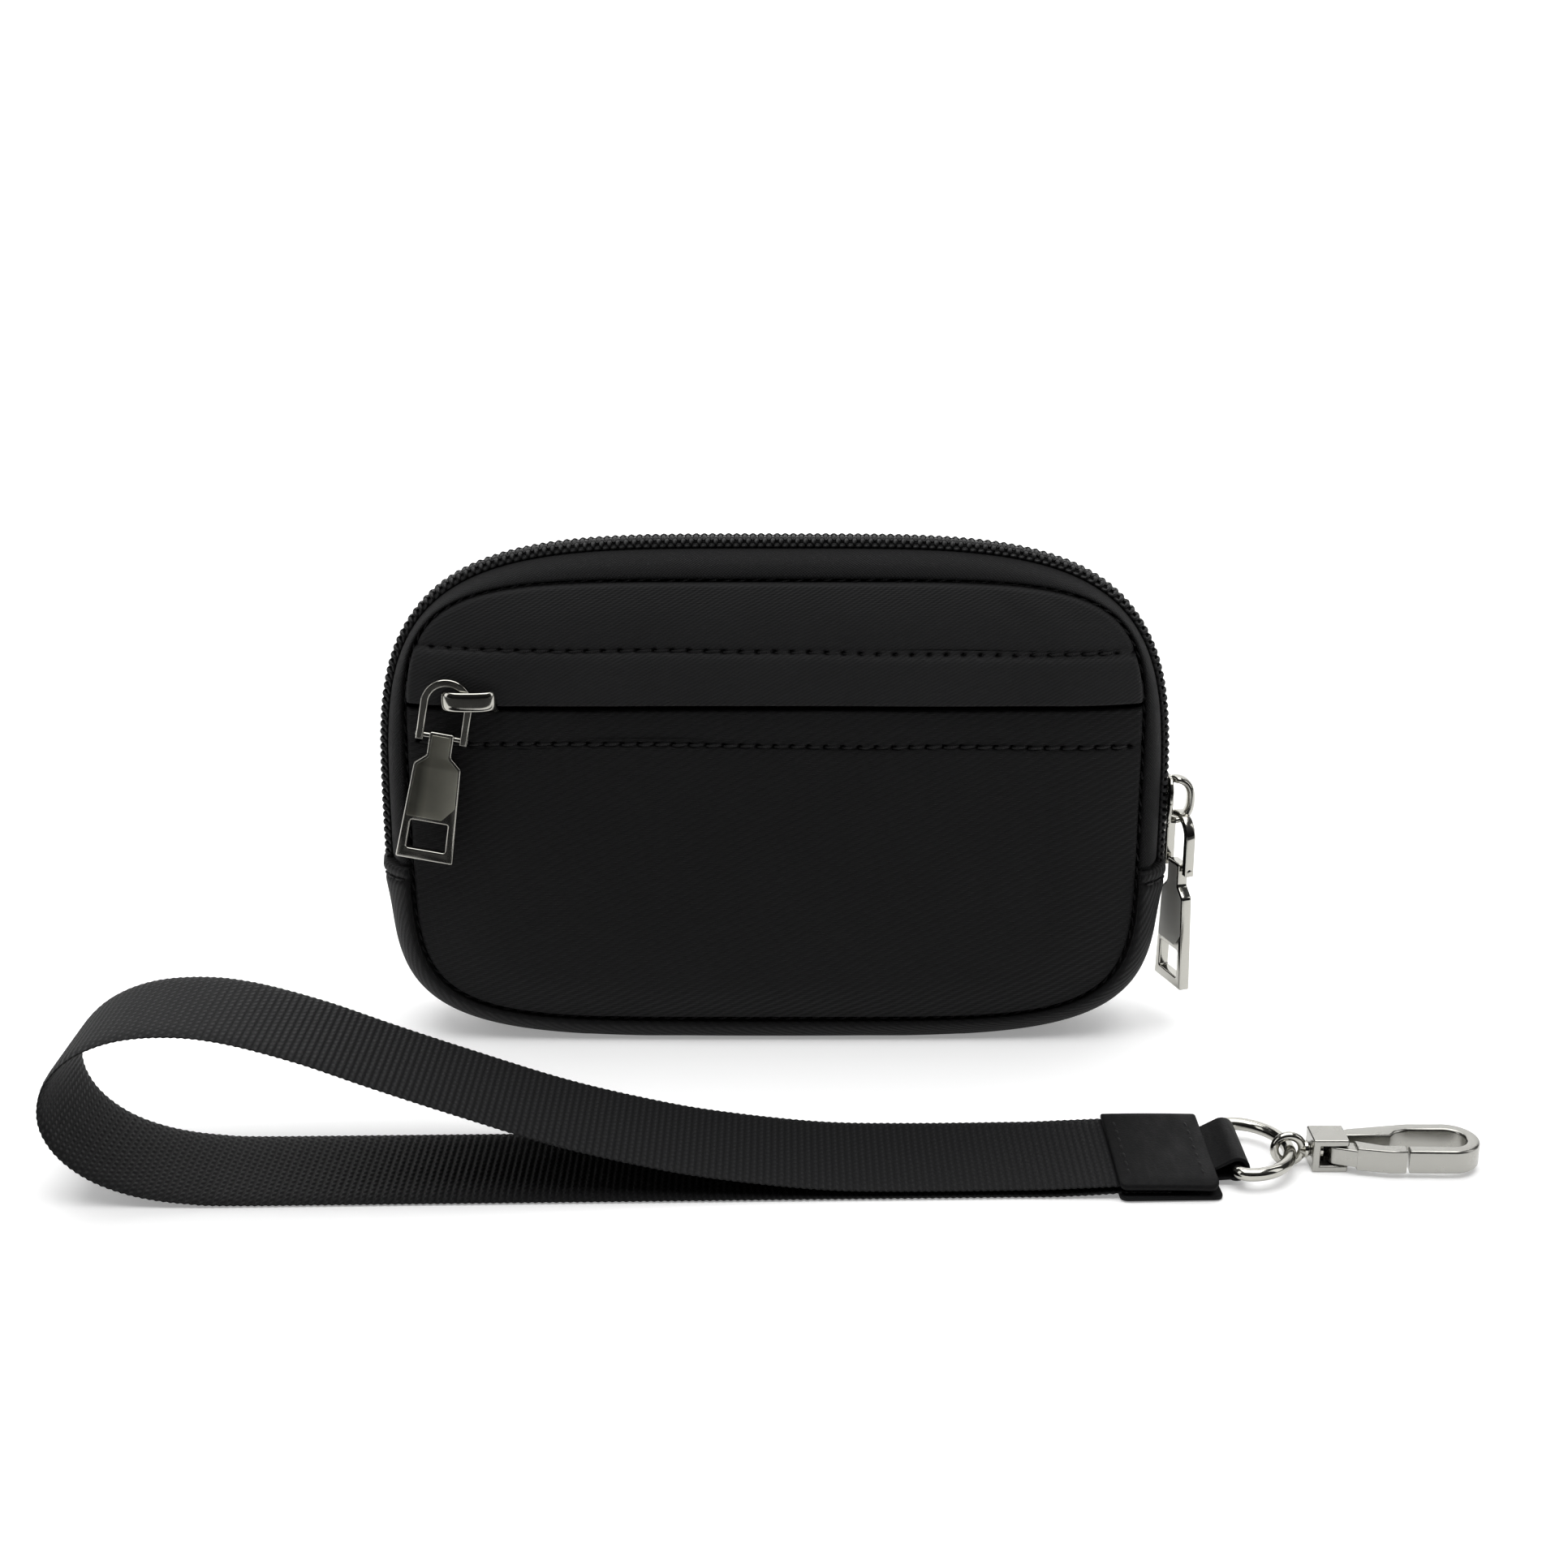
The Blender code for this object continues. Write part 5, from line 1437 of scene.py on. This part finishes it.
def build_eye(kit):
    """Swivel eye on the ring, with its collar and riveted shank."""
    spot, _ = joint_place("eye_swing")
    block = corners("hook_body")[0][0]
    turn = np.radians(np.arange(0, 360, 6))
    eye_radius, wire = 2.4, 0.78
    path = xyz(spot[0] + eye_radius * np.cos(turn), np.full_like(turn, spot[1]),
               spot[2] + eye_radius * np.sin(turn))
    eye = closed_wire("eye_wire", path, wire, 14, kit["nickel"], "hook_eye", (0, 1, 0))
    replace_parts(eye, "hook_eye")
    left = spot[0] + eye_radius
    profile = [(left - 0.5, 0.7), (left, 1.15), (left + 0.25, 1.5), (block - 0.45, 1.5), (block - 0.3, 1.35),
               (block - 0.3, 0.9), (block + 1.4, 0.9), (block + 1.5, 1.5), (block + 2.1, 1.5),
               (block + 2.2, 1.3)]
    shank = turned_piece("eye_shank", profile, spot, kit["nickel"], "hook_eye")


def turned_piece(name, profile, spot, material, body):
    """Solid turned about a line along x through a point; profile is (x, radius)."""
    rings = np.array([[(x, spot[1] + r * math.cos(a), spot[2] + r * math.sin(a)) for a in full_turn(32)]
                      for x, r in profile])
    return outward_faces(make_piece(name, *tube_parts(rings), material, body, sharp=35))


def hook_loop():
    """Hook seen from above: back arm, bow and nose; y is from the swivel's axis."""
    back = HOOK_WIDE / 2
    centre = (HOOK_TIP_X - back, 0)
    inner = back - 2.2
    start = corners("hook_body")[0][0] + 5.6
    shape = [(start, 2.9), (start + 1.5, 3.6), (centre[0] - 6, back - 0.02)]
    shape += arc(centre, back, 90, -90, 48)
    shape += [(GATE_END_X + 0.1, -back + 0.15), (GATE_END_X + 0.3, -back + 0.15 + GATE_DEEP)]
    shape += arc(centre, inner, -90, 90, 36)
    return shape + [(centre[0] - 6, back - 2.2), (start + 9.6, 2.4), (start + 8.4, 0.9), (start, 0.9)]


def build_hook(kit):
    axis_y, axis_z = STRAP_Y, joint_place("hook_swivel")[0][2]
    identity = Matrix.Identity(3)
    low, _ = corners("hook_body")
    block = polished_block(kit, low, axis_y, axis_z)
    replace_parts(block, "hook_body")
    bow = plate("hook_bow", [hook_loop()], 2.15, 0.55, kit["satin"], "hook", identity, (0, axis_y, axis_z), 5)
    pin, _ = joint_place("gate_hinge")
    front = -HOOK_WIDE / 2 + 0.15 - (pin[1] - axis_y)
    long = GATE_END_X - pin[0]
    step = 2.9
    knuckle = arc((0, 0), 1.55, 60, 240, 20) + [(step + 0.6, -2.75), (step + 0.6, 0.45)]
    arm = [(step, -2.65), (long - 3.0, front), (long - 0.3, front), (long, front + GATE_DEEP),
           (long - 4.0, front + 2.5), (step, 0.5)]
    for name, outline, half in (("gate_knuckle", knuckle, 1.6), ("gate_arm", arm, 2.1)):
        gate = plate(name, [outline], half, 0.3, kit["satin"], "gate", identity, pin, 4)
    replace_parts(gate, "hook_gate")
    rivet = polished("gate_pin", "gate_rivet", 0.1, kit["nickel"], "hook")


def box_corners(x, y, z):
    """Corners of a box from its two ends along each axis."""
    ring = ((x[0], y[0]), (x[1], y[0]), (x[1], y[1]), (x[0], y[1]))
    return np.array([(u, v, w) for w in z for u, v in ring])


def polished_block(kit, low, axis_y, axis_z):
    """Forked block: floor, roof, back wall and the end wall that holds the swivel."""
    half, wall = 3.0, 1.2
    x0, x1 = low[0], low[0] + 6.1
    cube = box_corners((x0, x1), (-half, half), (-half, half))
    slot = box_corners((x0 + 1.3, x1 + 0.6), (-half - 1, half - 1), (-half + wall, half - wall))
    faces = [(0, 3, 2, 1), (4, 5, 6, 7), (0, 1, 5, 4), (1, 2, 6, 5), (2, 3, 7, 6), (3, 0, 4, 7)]
    shift = np.array([0, axis_y, axis_z])
    block = make_piece("hook_block", cube + shift, faces, kit["satin"], "hook")
    cutter = make_piece("slot_cutter", slot + shift, faces, kit["satin"], "hook")
    bore = turned_piece("bore_cutter", [(x0 - 1, 1.15), (x0 + 2, 1.15)], shift, kit["satin"], "hook")
    for tool in (cutter, bore):
        cut = block.modifiers.new(tool.name, "BOOLEAN")
        cut.object = tool
        cut.operation = "DIFFERENCE"
    graph = bpy.context.evaluated_depsgraph_get()
    mesh = bpy.data.meshes.new_from_object(block.evaluated_get(graph))
    block.modifiers.clear()
    block.data = mesh
    for tool in (cutter, bore):
        bpy.data.objects.remove(tool)
    round_edges(block, 0.32, 4)
    return block


# --- CAD nodes that stay ---------------------------------------------------------------
def finish_cad_nodes(kit):
    finishes = {
        "foam": ("front_foam", "back_foam"),
        "lining": ("front_lining", "back_lining", "gusset_lining", "pocket_bag_front", "pocket_bag_back"),
        "binding": ("seam_binding_front", "seam_binding_back", "pocket_zip_tape_upper",
                    "pocket_zip_tape_lower"),
        "coil": ("pocket_zip_coil_upper", "pocket_zip_coil_lower"),
        "steel": ("gate_spring",),
    }
    for finish, nodes in finishes.items():
        for node in nodes:
            mesh = frame["nodes"][node].data
            mesh.materials.clear()
            mesh.materials.append(kit[finish])


make_camera()
KIT = make_materials()
make_floor()
make_studio()
build_front(KIT)
build_back(KIT)
build_tapes(KIT)
build_gusset(KIT)
build_coils(KIT, Chain())
build_pocket_stitches(KIT)
build_seam_stitches(KIT)
build_zip_end_stitches(KIT)
build_sliders(KIT)
build_pulls(KIT)
build_webbing(KIT)
build_cap(KIT)
build_ring_tab(KIT)
build_ring(KIT)
build_eye(KIT)
build_hook(KIT)
finish_cad_nodes(KIT)
